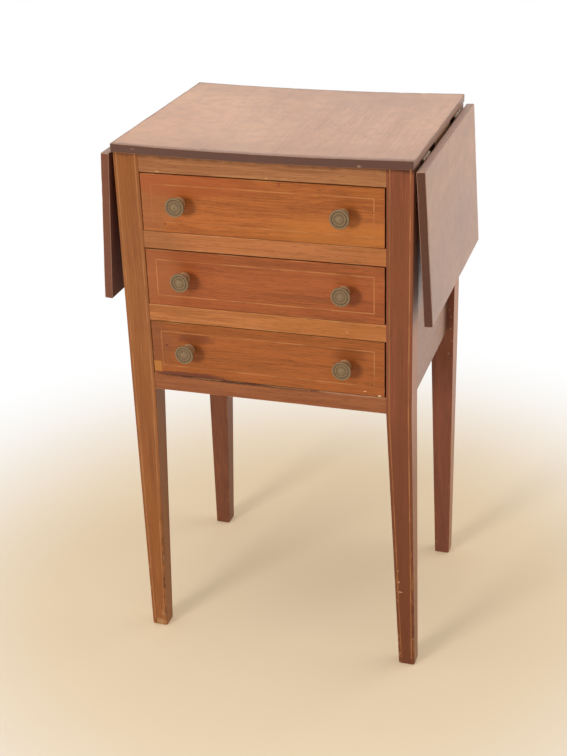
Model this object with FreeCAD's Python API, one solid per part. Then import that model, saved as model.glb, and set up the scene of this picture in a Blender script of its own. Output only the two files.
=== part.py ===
import FreeCAD, Part
import math
import os

# Drop-leaf sewing stand: three drawers between four tapered legs, a thin top and two hanging leaves.
# Millimetres, X to the right, Y to the back, Z up. The origin is on the floor, under the middle of
# the space that the stand fills. The leaves hang and the drawers are shut.

# Overall sizes
HEIGHT = 737.0
CASE_WIDTH = 390.0
CASE_DEPTH = 320.0

# Top board
TOP_THICKNESS = 11.5
TOP_SIDE_OVERHANG = 1.0
TOP_FRONT_OVERHANG = 5.0
TOP_BACK_OVERHANG = 2.0
BOARD_ROUND = 1.2

# Legs: square in the case, tapered on the two inner faces below it
LEG_SIZE = 34.0
FOOT_SIZE = 22.5
LEG_ROUND = 1.0
FOOT_WEAR = 2.2

# How far each foot has drifted to the right in use
FRONT_RIGHT_DRIFT = 7.8
FRONT_LEFT_DRIFT = 0.8
BACK_RIGHT_DRIFT = -1.2
BACK_LEFT_DRIFT = -4.7

# Front rails, with the three drawer openings between them
TOP_RAIL_HEIGHT = 25.0
RAIL_HEIGHT = 23.0
DRAWER_OPENING = 79.0
RAIL_DEPTH = 40.0
RAIL_RECESS = 0.4
TENON_LENGTH = 12.0
TENON_THICKNESS = 11.0
TENON_SETBACK = 10.0
TENON_SHOULDER = 4.0

# Side and back panels, let into grooves in the legs
PANEL_INSET = 10.0
PANEL_THICKNESS = 14.0
BACK_INSET = 5.0
BACK_THICKNESS = 14.0
TONGUE_LENGTH = 10.0
TONGUE_THICKNESS = 8.0
TONGUE_SHOULDER = 8.0

# Strip on the outside of each side panel, under the top's edge
BEARER_LENGTH = 100.0
BEARER_HEIGHT = 20.0
BEARER_THICKNESS = 10.3
BEARER_SETBACK = 10.0

# Runners and kickers
RUNNER_LEDGE = 20.0
GUIDE_HEIGHT = 12.0
STOP_SIZE = 16.0
STOP_HEIGHT = 6.0
STOP_SPACING = 160.0
STOP_GAP = 0.2

# Screws from the kickers into the top
SCREW_RADIUS = 2.0
SCREW_HEAD_RADIUS = 4.0
SCREW_HEAD_HEIGHT = 3.0
SCREW_BITE = 7.0
SCREW_GRIP = 12.0
SCREWS_PER_KICKER = 3
SCREW_END_DISTANCE = 30.0

# Drawers
DRAWER_SIDE_GAP = 1.2
DRAWER_TOP_GAP = 1.7
DRAWER_LIFT = 0.3
DRAWER_SHIFT = 0.6
DRAWER_RECESS = 0.5
DRAWER_BACK_GAP = 1.5
FRONT_THICKNESS = 18.0
FRONT_ROUND = 0.8
FRONT_LAP = 5.0
SIDE_THICKNESS = 9.0
SIDE_HEADROOM = 5.0
BOTTOM_THICKNESS = 5.0
BOTTOM_RISE = 8.0
GROOVE_DEPTH = 4.0
GROOVE_SLACK = 0.2
FRONT_TAILS = 3
BACK_TAILS = 2
TAIL_SHARE = 0.62
TAIL_SLOPE = 1.0 / 6.0

# Inlaid string lines
STRING_WIDTH = 1.5
STRING_DEPTH = 1.0
DRAWER_STRING_INSET = 13.0
LEG_STRING_INSET = 3.5
LEG_STRING_FOOT = 11.0

# Brass knobs
KNOB_SPACING = 215.0
KNOB_RISE = 2.0
KNOB_RADIUS = 12.9
KNOB_PROJECTION = 21.5
KNOB_RIM = 4.0
KNOB_NECK_RADIUS = 7.5
KNOB_NECK_SHARE = 0.2
KNOB_NECK_SAG = 0.3
KNOB_COLLAR_RADIUS = 8.0
KNOB_COLLAR = 2.5
KNOB_BOSS_RADIUS = 6.5
KNOB_BOSS_FLAT = 2.0
KNOB_GROOVE = 1.2
STUD_RADIUS = 2.0
STUD_SLACK = 0.1
NUT_RADIUS = 4.5
NUT_THICKNESS = 3.0

# Leaves and their hinges
LEAF_WIDTH = 200.0
LEAF_GAP = 0.6
HANG_TILT = 3.5
HINGE_LENGTH = 38.0
HINGE_PLATE_WIDTH = 10.5
HINGE_PLATE_THICKNESS = 1.2
HINGE_DROP = 2.0
KNUCKLE_RADIUS = 1.9
PIN_RADIUS = 1.0
PIN_CLEARANCE = 0.06
KNUCKLE_GAP = 0.3
FRONT_HINGE_INSET = 66.0
BACK_HINGE_INSET = 58.0

# Folding stays under the leaves
STAY_WALL_DROP = 55.0
STAY_WALL_REACH = 9.0
STAY_LEAF_REACH = 105.0
STAY_LEAF_DROP = 8.0
STAY_ARM_WIDTH = 10.0
STAY_ARM_THICKNESS = 2.0
STAY_LAYER_GAP = 0.3
STAY_RIVET_RADIUS = 2.0
STAY_RIVET_CLEARANCE = 0.08
STAY_HEAD_RADIUS = 3.6
STAY_HEAD_HEIGHT = 1.2
STAY_PLATE_LENGTH = 30.0
STAY_PLATE_WIDTH = 20.0
STAY_PLATE_THICKNESS = 2.0

DRAWER_NAMES = ("upper", "middle", "lower")
V = FreeCAD.Vector
ALONG_Y = V(0, 1, 0)

# Planes worked out from the sizes above
UNDERSIDE = HEIGHT - TOP_THICKNESS
OUTER_X = CASE_WIDTH / 2
INNER_X = OUTER_X - LEG_SIZE
FRONT_Y = (KNOB_PROJECTION - DRAWER_RECESS - CASE_DEPTH - TOP_BACK_OVERHANG) / 2
BACK_Y = FRONT_Y + CASE_DEPTH
PANEL_FACE = OUTER_X - PANEL_INSET
PANEL_INSIDE = PANEL_FACE - PANEL_THICKNESS
BACK_INSIDE = BACK_Y - BACK_INSET - BACK_THICKNESS
RAIL_BACK = FRONT_Y + RAIL_DEPTH
LEDGE_X = INNER_X - RUNNER_LEDGE
FIRST_OPENING_TOP = UNDERSIDE - TOP_RAIL_HEIGHT
DRAWER_PITCH = DRAWER_OPENING + RAIL_HEIGHT
CASE_BOTTOM = FIRST_OPENING_TOP - len(DRAWER_NAMES) * DRAWER_PITCH
TOP_EDGE_X = OUTER_X + TOP_SIDE_OVERHANG
TOP_FRONT_Y = FRONT_Y - TOP_FRONT_OVERHANG
TOP_BACK_Y = BACK_Y + TOP_BACK_OVERHANG
PIN_X = TOP_EDGE_X + LEAF_GAP / 2
PIN_Z = UNDERSIDE - HINGE_DROP
LEAF_SWING = 90.0 - HANG_TILT


# Small helpers

def box(x0, x1, y0, y1, z0, z1):
    """Block between two corners."""
    return Part.makeBox(x1 - x0, y1 - y0, z1 - z0, V(x0, y0, z0))


def prism(points, path):
    """Solid swept from a flat outline along a straight path."""
    return Part.Face(Part.makePolygon(points + points[:1])).extrude(path)


def rod(x, z, radius, y0, y1):
    """Round bar along Y."""
    return Part.makeCylinder(radius, y1 - y0, V(x, y0, z), ALONG_Y)


def joined(first, others):
    """One solid out of several that meet."""
    return first.fuse(others).removeSplitter()


def mirrored(shape):
    """The same piece for the left side."""
    return shape.mirror(V(0, 0, 0), V(1, 0, 0))


def turned_back(shape):
    """The same piece for the back of the case."""
    return shape.mirror(V(0, (FRONT_Y + BACK_Y) / 2, 0), ALONG_Y)


def hung(shape):
    """Turn a piece of the raised right leaf down about the hinge pin, to where the leaf hangs."""
    turned = shape.copy()
    turned.rotate(V(PIN_X, 0, PIN_Z), ALONG_Y, LEAF_SWING)
    return turned


def rounded(shape, radius, choose):
    """Round the chosen edges."""
    return shape.makeFillet(radius, [edge for edge in shape.Edges if choose(edge)])


def opening_floor(index):
    """Height of the rail that a drawer stands on, the upper drawer being number 0."""
    return FIRST_OPENING_TOP - DRAWER_OPENING - index * DRAWER_PITCH


# Legs and the string lines in them

def leg_section(size, drawn_in, z, drift=0.0):
    """Square with round corners at the case's right front corner, drawn in all round and moved outwards."""
    x0 = OUTER_X - size + drawn_in + drift
    x1 = OUTER_X - drawn_in + drift
    y0 = FRONT_Y + drawn_in
    y1 = FRONT_Y + size - drawn_in
    corners = [V(x0, y0, z), V(x1, y0, z), V(x1, y1, z), V(x0, y1, z)]
    edges = []
    for number, corner in enumerate(corners):
        to_last = (corners[number - 1] - corner).normalize() * LEG_ROUND
        to_next = (corners[(number + 1) % 4] - corner).normalize() * LEG_ROUND
        bulge = corner + (to_last + to_next) * (1 - math.sqrt(0.5))
        edges.append(Part.Arc(corner + to_last, bulge, corner + to_next).toShape())
        following = corners[(number + 1) % 4]
        edges.append(Part.LineSegment(corner + to_next, following - to_next).toShape())
    return Part.Wire(edges)


def right_leg(drift):
    """Tapered leg at the right front, with eased edges and a worn foot that has drifted outwards."""
    sections = [
        leg_section(FOOT_SIZE, FOOT_WEAR, 0, drift),
        leg_section(FOOT_SIZE, 0, FOOT_WEAR, drift),
        leg_section(LEG_SIZE, 0, CASE_BOTTOM),
        leg_section(LEG_SIZE, 0, UNDERSIDE),
    ]
    return Part.makeLoft(sections, True, True)


def leg_column():
    """Room that the right front leg takes up inside the case."""
    return box(INNER_X, OUTER_X, FRONT_Y, FRONT_Y + LEG_SIZE, CASE_BOTTOM, UNDERSIDE)


def leg_string(foot_x, case_x):
    """Pale strip in the front face of a leg: upright in the case, leaning to the foot below it."""
    outline = [(foot_x, LEG_STRING_FOOT), (case_x, CASE_BOTTOM), (case_x, UNDERSIDE),
               (case_x + STRING_WIDTH, UNDERSIDE), (case_x + STRING_WIDTH, CASE_BOTTOM),
               (foot_x + STRING_WIDTH, LEG_STRING_FOOT)]
    return prism([V(x, FRONT_Y, z) for x, z in outline], V(0, STRING_DEPTH, 0))


def right_leg_strings(drift):
    """Two strips that follow the outer and the inner edge of the right front leg."""
    share = 1 - LEG_STRING_FOOT / CASE_BOTTOM
    outer = OUTER_X - LEG_STRING_INSET - STRING_WIDTH
    inner = INNER_X + LEG_STRING_INSET
    taper = LEG_SIZE - FOOT_SIZE
    return [leg_string(outer + drift * share, outer), leg_string(inner + (taper + drift) * share, inner)]


# Rails and panels

def rail_tenon(z0, z1):
    """Tenon at the right end of a rail."""
    y0 = FRONT_Y + TENON_SETBACK
    return box(INNER_X, INNER_X + TENON_LENGTH, y0, y0 + TENON_THICKNESS,
               z0 + TENON_SHOULDER, z1 - TENON_SHOULDER)


def front_rail(z0, z1):
    """Rail between the front legs, tenoned into both."""
    bar = box(-INNER_X, INNER_X, FRONT_Y + RAIL_RECESS, RAIL_BACK, z0, z1)
    tenon = rail_tenon(z0, z1)
    return joined(bar, [tenon, mirrored(tenon)])


def rail_heights():
    """Lower and upper faces of the rails, from the top down, by name."""
    rails = {"top_rail": (FIRST_OPENING_TOP, UNDERSIDE)}
    names = ("upper_drawer_rail", "lower_drawer_rail", "bottom_rail")
    for index, name in enumerate(names):
        floor = opening_floor(index)
        rails[name] = (floor - RAIL_HEIGHT, floor)
    return rails


def right_panel_tongues():
    """Tongues on the two upright edges of the right side panel."""
    middle = (PANEL_FACE + PANEL_INSIDE) / 2
    x0 = middle - TONGUE_THICKNESS / 2
    x1 = middle + TONGUE_THICKNESS / 2
    low = CASE_BOTTOM + TONGUE_SHOULDER
    front = FRONT_Y + LEG_SIZE
    back = BACK_Y - LEG_SIZE
    return [box(x0, x1, front - TONGUE_LENGTH, front, low, UNDERSIDE),
            box(x0, x1, back, back + TONGUE_LENGTH, low, UNDERSIDE)]


def right_side_panel():
    """Side of the case, set in from the legs' outer faces, with the bearer strip glued to it."""
    board = box(PANEL_INSIDE, PANEL_FACE, FRONT_Y + LEG_SIZE, BACK_Y - LEG_SIZE, CASE_BOTTOM, UNDERSIDE)
    middle = (FRONT_Y + BACK_Y) / 2 + BEARER_SETBACK
    bearer = box(PANEL_FACE, PANEL_FACE + BEARER_THICKNESS, middle - BEARER_LENGTH / 2,
                 middle + BEARER_LENGTH / 2, UNDERSIDE - BEARER_HEIGHT, UNDERSIDE)
    return joined(board, right_panel_tongues() + [bearer])


def back_tongue():
    """Tongue on the right edge of the back panel."""
    middle = BACK_INSIDE + BACK_THICKNESS / 2
    return box(INNER_X, INNER_X + TONGUE_LENGTH, middle - TONGUE_THICKNESS / 2,
               middle + TONGUE_THICKNESS / 2, CASE_BOTTOM + TONGUE_SHOULDER, UNDERSIDE)


def back_panel():
    """Back of the case, between the back legs."""
    board = box(-INNER_X, INNER_X, BACK_INSIDE, BACK_INSIDE + BACK_THICKNESS, CASE_BOTTOM, UNDERSIDE)
    tongue = back_tongue()
    return joined(board, [tongue, mirrored(tongue)])


# What carries and guides the drawers

def clear_of_legs(strip):
    """Notch a strip on the right side round the two legs."""
    return strip.cut([leg_column(), turned_back(leg_column())])


def right_runner(floor):
    """L-shaped runner: a ledge under the drawer's side and a guide beside it."""
    low = floor - RAIL_HEIGHT
    high = floor + GUIDE_HEIGHT
    outline = [(LEDGE_X, low), (PANEL_INSIDE, low), (PANEL_INSIDE, high),
               (INNER_X, high), (INNER_X, floor), (LEDGE_X, floor)]
    strip = prism([V(x, RAIL_BACK, z) for x, z in outline], V(0, BACK_INSIDE - RAIL_BACK, 0))
    return clear_of_legs(strip)


def right_kicker():
    """Strip above the upper drawer's side, which also takes the screws into the top."""
    return clear_of_legs(box(LEDGE_X, PANEL_INSIDE, RAIL_BACK, BACK_INSIDE, FIRST_OPENING_TOP, UNDERSIDE))


def right_top_screws():
    """Round-headed screws, up through the right kicker into the top."""
    x = (LEDGE_X + INNER_X) / 2
    first = RAIL_BACK + SCREW_END_DISTANCE
    step = (BACK_INSIDE - SCREW_END_DISTANCE - first) / (SCREWS_PER_KICKER - 1)
    seat = UNDERSIDE - SCREW_GRIP
    screws = []
    for number in range(SCREWS_PER_KICKER):
        y = first + number * step
        shank = Part.makeCylinder(SCREW_RADIUS, SCREW_GRIP + SCREW_BITE, V(x, y, seat))
        head = Part.makeCylinder(SCREW_HEAD_RADIUS, SCREW_HEAD_HEIGHT, V(x, y, seat - SCREW_HEAD_HEIGHT))
        screws.append(joined(shank, [head]))
    return screws


def screw_wells(screws):
    """Round wells in a kicker's lower face, through which its screws are driven."""
    wells = []
    for screw in screws:
        middle = screw.BoundBox.Center
        depth = UNDERSIDE - SCREW_GRIP - FIRST_OPENING_TOP
        wells.append(Part.makeCylinder(SCREW_HEAD_RADIUS, depth, V(middle.x, middle.y, FIRST_OPENING_TOP)))
    return wells


def drawer_stops():
    """Two small blocks on each rail, behind the drawer's front, that bring it up flush."""
    y0 = FRONT_Y + DRAWER_RECESS + FRONT_THICKNESS + STOP_GAP
    stops = []
    for index in range(len(DRAWER_NAMES)):
        floor = opening_floor(index)
        for middle in (-STOP_SPACING / 2, STOP_SPACING / 2):
            stops.append(box(middle - STOP_SIZE / 2, middle + STOP_SIZE / 2,
                             y0, y0 + STOP_SIZE, floor, floor + STOP_HEIGHT))
    return stops


# Top

def table_top():
    """Plain board with eased edges."""
    board = box(-TOP_EDGE_X, TOP_EDGE_X, TOP_FRONT_Y, TOP_BACK_Y, UNDERSIDE, HEIGHT)
    return rounded(board, BOARD_ROUND, lambda edge: True)


# Drawers

def tails(x0, x1, root_y, tip_y, low, high, count):
    """Dovetails that widen from their root to their tip, evenly spaced between two heights."""
    pitch = (high - low) / count
    spread = abs(root_y - tip_y) * TAIL_SLOPE
    tip = pitch * TAIL_SHARE / 2
    root = tip - spread
    shapes = []
    for number in range(count):
        middle = low + (number + 0.5) * pitch
        corners = [V(x0, root_y, middle - root), V(x0, tip_y, middle - tip),
                   V(x0, tip_y, middle + tip), V(x0, root_y, middle + root)]
        shapes.append(prism(corners, V(x1 - x0, 0, 0)))
    return shapes


def right_knob(z):
    """Turned brass knob: collar, neck, flared head with a rim, a groove and a raised boss, and a stud."""
    flare = KNOB_PROJECTION - KNOB_RIM - KNOB_COLLAR
    rim_back = KNOB_PROJECTION - KNOB_RIM
    face = KNOB_PROJECTION - KNOB_GROOVE
    stud_end = -(FRONT_THICKNESS + NUT_THICKNESS + KNOB_GROOVE)
    half_round = KNOB_GROOVE * math.sqrt(0.5)
    axis_x = KNOB_SPACING / 2
    surface = FRONT_Y + DRAWER_RECESS

    def at(radius, out):
        return V(axis_x + radius, surface - out, z)

    def line(a, b):
        return Part.LineSegment(at(*a), at(*b)).toShape()

    def arc(a, through, b):
        return Part.Arc(at(*a), at(*through), at(*b)).toShape()

    neck_top = (KNOB_NECK_RADIUS, KNOB_COLLAR + flare * KNOB_NECK_SHARE)
    rim_low = (KNOB_RADIUS, rim_back)
    sag = ((neck_top[0] + rim_low[0]) / 2 - KNOB_NECK_SAG, (neck_top[1] + rim_low[1]) / 2 + KNOB_NECK_SAG)
    rim_top = (KNOB_RADIUS, face - KNOB_GROOVE)
    rim_face = (KNOB_RADIUS - KNOB_GROOVE, face)
    rim_bulge = (KNOB_RADIUS - KNOB_GROOVE + half_round, face - KNOB_GROOVE + half_round)
    ring = (KNOB_RADIUS + KNOB_BOSS_RADIUS) / 2
    ring_out = (ring + KNOB_GROOVE, face)
    ring_in = (KNOB_BOSS_RADIUS, face)
    ring_low = ((ring_out[0] + ring_in[0]) / 2, face - KNOB_GROOVE)
    boss_flat = (KNOB_BOSS_FLAT, KNOB_PROJECTION)
    boss_side = ((KNOB_BOSS_RADIUS + KNOB_BOSS_FLAT) / 2, face + half_round)
    outline = [
        line((0, stud_end), (STUD_RADIUS, stud_end)),
        line((STUD_RADIUS, stud_end), (STUD_RADIUS, 0)),
        line((STUD_RADIUS, 0), (KNOB_COLLAR_RADIUS, 0)),
        line((KNOB_COLLAR_RADIUS, 0), (KNOB_COLLAR_RADIUS, KNOB_COLLAR / 2)),
        line((KNOB_COLLAR_RADIUS, KNOB_COLLAR / 2), (KNOB_NECK_RADIUS, KNOB_COLLAR)),
        line((KNOB_NECK_RADIUS, KNOB_COLLAR), neck_top),
        arc(neck_top, sag, rim_low),
        line(rim_low, rim_top),
        arc(rim_top, rim_bulge, rim_face),
        line(rim_face, ring_out),
        arc(ring_out, ring_low, ring_in),
        arc(ring_in, boss_side, boss_flat),
        line(boss_flat, (0, KNOB_PROJECTION)),
        line((0, KNOB_PROJECTION), (0, stud_end)),
    ]
    return Part.Face(Part.Wire(outline)).revolve(at(0, 0), ALONG_Y, 360)


def right_nut(z):
    """Square nut on the stud, against the inside of the drawer's front."""
    x = KNOB_SPACING / 2
    y0 = FRONT_Y + DRAWER_RECESS + FRONT_THICKNESS
    block = box(x - NUT_RADIUS, x + NUT_RADIUS, y0, y0 + NUT_THICKNESS, z - NUT_RADIUS, z + NUT_RADIUS)
    return block.cut(rod(x, z, STUD_RADIUS, y0, y0 + NUT_THICKNESS))


def drawer(name, index):
    """The pieces of one dovetailed drawer, which sits a little to the left in its opening."""
    floor = opening_floor(index) + DRAWER_LIFT
    top = opening_floor(index) + DRAWER_OPENING - DRAWER_TOP_GAP
    side_top = top - SIDE_HEADROOM
    half = INNER_X - DRAWER_SIDE_GAP
    side_in = half - SIDE_THICKNESS
    front_y = FRONT_Y + DRAWER_RECESS
    inside_y = front_y + FRONT_THICKNESS
    end_y = BACK_INSIDE - DRAWER_BACK_GAP
    back_y = end_y - SIDE_THICKNESS
    groove_low = floor + BOTTOM_RISE
    groove_high = groove_low + BOTTOM_THICKNESS + GROOVE_SLACK
    groove_x = side_in + GROOVE_DEPTH
    groove_y = inside_y - GROOVE_DEPTH
    middle = (floor + top) / 2 + KNOB_RISE

    groove = box(-groove_x, groove_x, groove_y, end_y, groove_low, groove_high)
    front_sockets = tails(side_in, half, inside_y, front_y + FRONT_LAP, floor, side_top, FRONT_TAILS)
    back_sockets = tails(side_in, half, back_y, end_y, groove_high, side_top, BACK_TAILS)

    inset = DRAWER_STRING_INSET
    inner = inset + STRING_WIDTH
    string_y = front_y + STRING_DEPTH
    string = box(-half + inset, half - inset, front_y, string_y, floor + inset, top - inset).cut(
        box(-half + inner, half - inner, front_y, string_y, floor + inner, top - inner))

    board = box(-half, half, front_y, inside_y, floor, top)
    board = rounded(board, FRONT_ROUND, lambda edge: edge.BoundBox.YMax < front_y + FRONT_ROUND)
    stud_hole = rod(KNOB_SPACING / 2, middle, STUD_RADIUS + STUD_SLACK, front_y, inside_y)
    sockets = front_sockets + [stud_hole]
    front = board.cut(sockets + [mirrored(cut) for cut in sockets] + [groove, string])

    back = box(-half, half, back_y, end_y, groove_high, side_top)
    back = back.cut(back_sockets + [mirrored(cut) for cut in back_sockets])

    right_side = box(side_in, half, front_y + FRONT_LAP, end_y, floor, side_top).cut([front, back, groove])
    bottom = box(-groove_x + GROOVE_SLACK, groove_x - GROOVE_SLACK, groove_y + GROOVE_SLACK, end_y,
                 groove_low, groove_low + BOTTOM_THICKNESS)
    knob = right_knob(middle)
    nut = right_nut(middle)
    pieces = {
        f"{name}_drawer_front": front,
        f"{name}_drawer_left_side": mirrored(right_side),
        f"{name}_drawer_right_side": right_side,
        f"{name}_drawer_back": back,
        f"{name}_drawer_bottom": bottom,
        f"{name}_drawer_stringing": string,
        f"{name}_drawer_knobs": Part.makeCompound([knob, mirrored(knob), nut, mirrored(nut)]),
    }
    for piece in pieces.values():
        piece.translate(V(-DRAWER_SHIFT, 0, 0))
    return pieces


# Leaves and hinges, made for the right side with the leaf raised level with the top

def raised_leaf():
    """Leaf board, level with the top and a small gap away from it."""
    x0 = PIN_X + LEAF_GAP / 2
    board = box(x0, x0 + LEAF_WIDTH, TOP_FRONT_Y, TOP_BACK_Y, UNDERSIDE, HEIGHT)
    return rounded(board, BOARD_ROUND, lambda edge: True)


def hinge_places():
    """Middles of the two hinges along the leaf."""
    return (TOP_FRONT_Y + FRONT_HINGE_INSET, TOP_BACK_Y - BACK_HINGE_INSET)


def hinge_knuckles(middle):
    """Lengths of the three knuckles of a hinge, front to back."""
    third = HINGE_LENGTH / 3
    start = middle - HINGE_LENGTH / 2
    return [(start + number * third, start + (number + 1) * third) for number in range(3)]


def hinge_half(middle, toward, own, other, bore):
    """One plate of a butt hinge with its own knuckles, cut back round the other plate's knuckles."""
    near_edge = PIN_X + toward * KNUCKLE_GAP / 2
    far_edge = PIN_X + toward * HINGE_PLATE_WIDTH
    x0, x1 = sorted((near_edge, far_edge))
    plate = box(x0, x1, middle - HINGE_LENGTH / 2, middle + HINGE_LENGTH / 2,
                UNDERSIDE - HINGE_PLATE_THICKNESS, UNDERSIDE)
    relief = KNUCKLE_RADIUS + KNUCKLE_GAP
    knuckles = hinge_knuckles(middle)
    lips = [rod(PIN_X, PIN_Z, relief, knuckles[number][0], knuckles[number][1]) for number in other]
    rolls = []
    for number in own:
        y0, y1 = knuckles[number]
        rolls.append(rod(PIN_X, PIN_Z, KNUCKLE_RADIUS, y0 + KNUCKLE_GAP / 2, y1 - KNUCKLE_GAP / 2))
    trimmed = plate.cut(lips)
    return joined(trimmed, rolls).cut(rod(PIN_X, PIN_Z, bore, knuckles[0][0], knuckles[-1][1]))


def hinge_pins():
    """Pins of the two hinges on the right."""
    half = HINGE_LENGTH / 2
    return [rod(PIN_X, PIN_Z, PIN_RADIUS, y - half, y + half) for y in hinge_places()]


# Folding stays, made for the right side

def stay_points():
    """Pivots on the panel, on the hanging leaf and at the elbow, and on the raised leaf, as (x, z).

    The long arm hangs straight down from the panel when the leaf hangs. Raised, the two arms lie in one
    straight line from the panel to the leaf, so their lengths add up to that distance.
    """
    wall = (PANEL_FACE + STAY_WALL_REACH, PIN_Z - STAY_WALL_DROP)
    raised = (PIN_X + STAY_LEAF_REACH, UNDERSIDE - STAY_LEAF_DROP)
    reach = math.hypot(raised[0] - PIN_X, raised[1] - PIN_Z)
    lean = math.atan2(raised[1] - PIN_Z, raised[0] - PIN_X) - math.radians(LEAF_SWING)
    hanging = (PIN_X + reach * math.cos(lean), PIN_Z + reach * math.sin(lean))
    straight = math.hypot(raised[0] - wall[0], raised[1] - wall[1])
    drop = wall[1] - hanging[1]
    aside = hanging[0] - wall[0]
    below = ((straight - drop) ** 2 - aside ** 2) / (2 * (straight - drop))
    elbow = (wall[0], hanging[1] - below)
    return wall, hanging, elbow, raised


def stay_layer(number):
    """Front and back of one of the four layers of a stay: leaf ear, short arm, long arm, panel ear."""
    step = STAY_ARM_THICKNESS + STAY_LAYER_GAP
    start = (FRONT_Y + BACK_Y) / 2 - 2 * step + number * step
    return start, start + STAY_ARM_THICKNESS


def flat_arm(start, end, layer):
    """Flat arm with round ends between two pivots."""
    y0, y1 = stay_layer(layer)
    radius = STAY_ARM_WIDTH / 2
    length = math.hypot(end[0] - start[0], end[1] - start[1])
    along = V((end[0] - start[0]) / length, 0, (end[1] - start[1]) / length) * radius
    across = V(-along.z, 0, along.x)
    first = V(start[0], y0, start[1])
    last = V(end[0], y0, end[1])
    outline = [
        Part.LineSegment(first + across, last + across).toShape(),
        Part.Arc(last + across, last + along, last - across).toShape(),
        Part.LineSegment(last - across, first - across).toShape(),
        Part.Arc(first - across, first - along, first + across).toShape(),
    ]
    return Part.Face(Part.Wire(outline)).extrude(V(0, y1 - y0, 0))


def pivot_hole(point, layer):
    """Running hole for a rivet in one layer of a stay."""
    y0, y1 = stay_layer(layer)
    return rod(point[0], point[1], STAY_RIVET_RADIUS + STAY_RIVET_CLEARANCE, y0, y1)


def stay_wall_plate():
    """Plate screwed to the side panel, with the ear and rivet that carry the long arm."""
    wall = stay_points()[0]
    y0, y1 = stay_layer(3)
    half = STAY_ARM_WIDTH / 2
    plate = box(PANEL_FACE, PANEL_FACE + STAY_PLATE_THICKNESS, y0, y0 + STAY_PLATE_WIDTH,
                wall[1] - STAY_PLATE_LENGTH / 2, wall[1] + STAY_PLATE_LENGTH / 2)
    ear = box(PANEL_FACE, wall[0], y0, y1, wall[1] - half, wall[1] + half)
    ear_end = rod(wall[0], wall[1], half, y0, y1)
    rivet = rod(wall[0], wall[1], STAY_RIVET_RADIUS, stay_layer(2)[0], y1)
    head = rod(wall[0], wall[1], STAY_HEAD_RADIUS, y1, y1 + STAY_HEAD_HEIGHT)
    return joined(plate, [ear, ear_end, rivet, head])


def stay_leaf_plate():
    """Plate screwed under the raised leaf, with the ear and rivet that carry the short arm."""
    raised = stay_points()[3]
    y0, y1 = stay_layer(0)
    half = STAY_ARM_WIDTH / 2
    plate = box(raised[0] - STAY_PLATE_LENGTH / 2, raised[0] + STAY_PLATE_LENGTH / 2,
                y1 - STAY_PLATE_WIDTH, y1, UNDERSIDE - STAY_PLATE_THICKNESS, UNDERSIDE)
    ear = box(raised[0] - half, raised[0] + half, y0, y1, raised[1], UNDERSIDE)
    ear_end = rod(raised[0], raised[1], half, y0, y1)
    rivet = rod(raised[0], raised[1], STAY_RIVET_RADIUS, y0, stay_layer(1)[1])
    head = rod(raised[0], raised[1], STAY_HEAD_RADIUS, y0 - STAY_HEAD_HEIGHT, y0)
    return joined(plate, [ear, ear_end, rivet, head])


def stay_long_arm():
    """Arm from the panel to the elbow, with the elbow rivet's head on its outer side."""
    wall, _, elbow, _ = stay_points()
    back = stay_layer(2)[1]
    arm = flat_arm(wall, elbow, 2).cut(pivot_hole(wall, 2))
    return joined(arm, [rod(elbow[0], elbow[1], STAY_HEAD_RADIUS, back, back + STAY_HEAD_HEIGHT)])


def stay_short_arm():
    """Arm from the elbow to the leaf, with the elbow rivet's head on its outer side."""
    _, hanging, elbow, _ = stay_points()
    front = stay_layer(1)[0]
    arm = flat_arm(elbow, hanging, 1).cut(pivot_hole(hanging, 1))
    return joined(arm, [rod(elbow[0], elbow[1], STAY_HEAD_RADIUS, front - STAY_HEAD_HEIGHT, front)])


# The whole stand, as one named piece after another

def both_sides(name, shape):
    """A piece on the right and its mirror image on the left."""
    return {f"right_{name}": shape, f"left_{name}": mirrored(shape)}


def case_pieces():
    """Everything that stands still."""
    rails = rail_heights()
    screws = right_top_screws()
    panel_tongues = right_panel_tongues()
    front_mortises = [rail_tenon(z0, z1) for z0, z1 in rails.values()] + panel_tongues
    back_mortises = panel_tongues + [back_tongue()]
    right_strings = right_leg_strings(FRONT_RIGHT_DRIFT)
    left_strings = right_leg_strings(-FRONT_LEFT_DRIFT)
    all_screws = screws + [mirrored(screw) for screw in screws]

    pieces = {
        "front_right_leg": right_leg(FRONT_RIGHT_DRIFT).cut(front_mortises + right_strings),
        "front_left_leg": mirrored(right_leg(-FRONT_LEFT_DRIFT).cut(front_mortises + left_strings)),
        "back_right_leg": turned_back(right_leg(BACK_RIGHT_DRIFT)).cut(back_mortises),
        "back_left_leg": mirrored(turned_back(right_leg(-BACK_LEFT_DRIFT)).cut(back_mortises)),
        "leg_stringing": Part.makeCompound(right_strings + [mirrored(strip) for strip in left_strings]),
        "back_panel": back_panel(),
        "table_top": table_top().cut(all_screws),
        "top_screws": Part.makeCompound(all_screws),
        "drawer_stops": Part.makeCompound(drawer_stops()),
    }
    for name, (z0, z1) in rails.items():
        pieces[name] = front_rail(z0, z1)
    pieces.update(both_sides("side_panel", right_side_panel()))
    pieces.update(both_sides("kicker", right_kicker().cut(screws + screw_wells(screws))))
    for index, name in enumerate(DRAWER_NAMES):
        pieces.update(both_sides(f"{name}_runner", right_runner(opening_floor(index))))
    top_plates = [hinge_half(y, -1, (0, 2), (1,), PIN_RADIUS) for y in hinge_places()]
    pieces.update(both_sides("hinge_top_plates", Part.makeCompound(top_plates)))
    pieces.update(both_sides("hinge_pins", Part.makeCompound(hinge_pins())))
    pieces.update(both_sides("stay_wall_plate", stay_wall_plate()))
    return pieces


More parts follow.
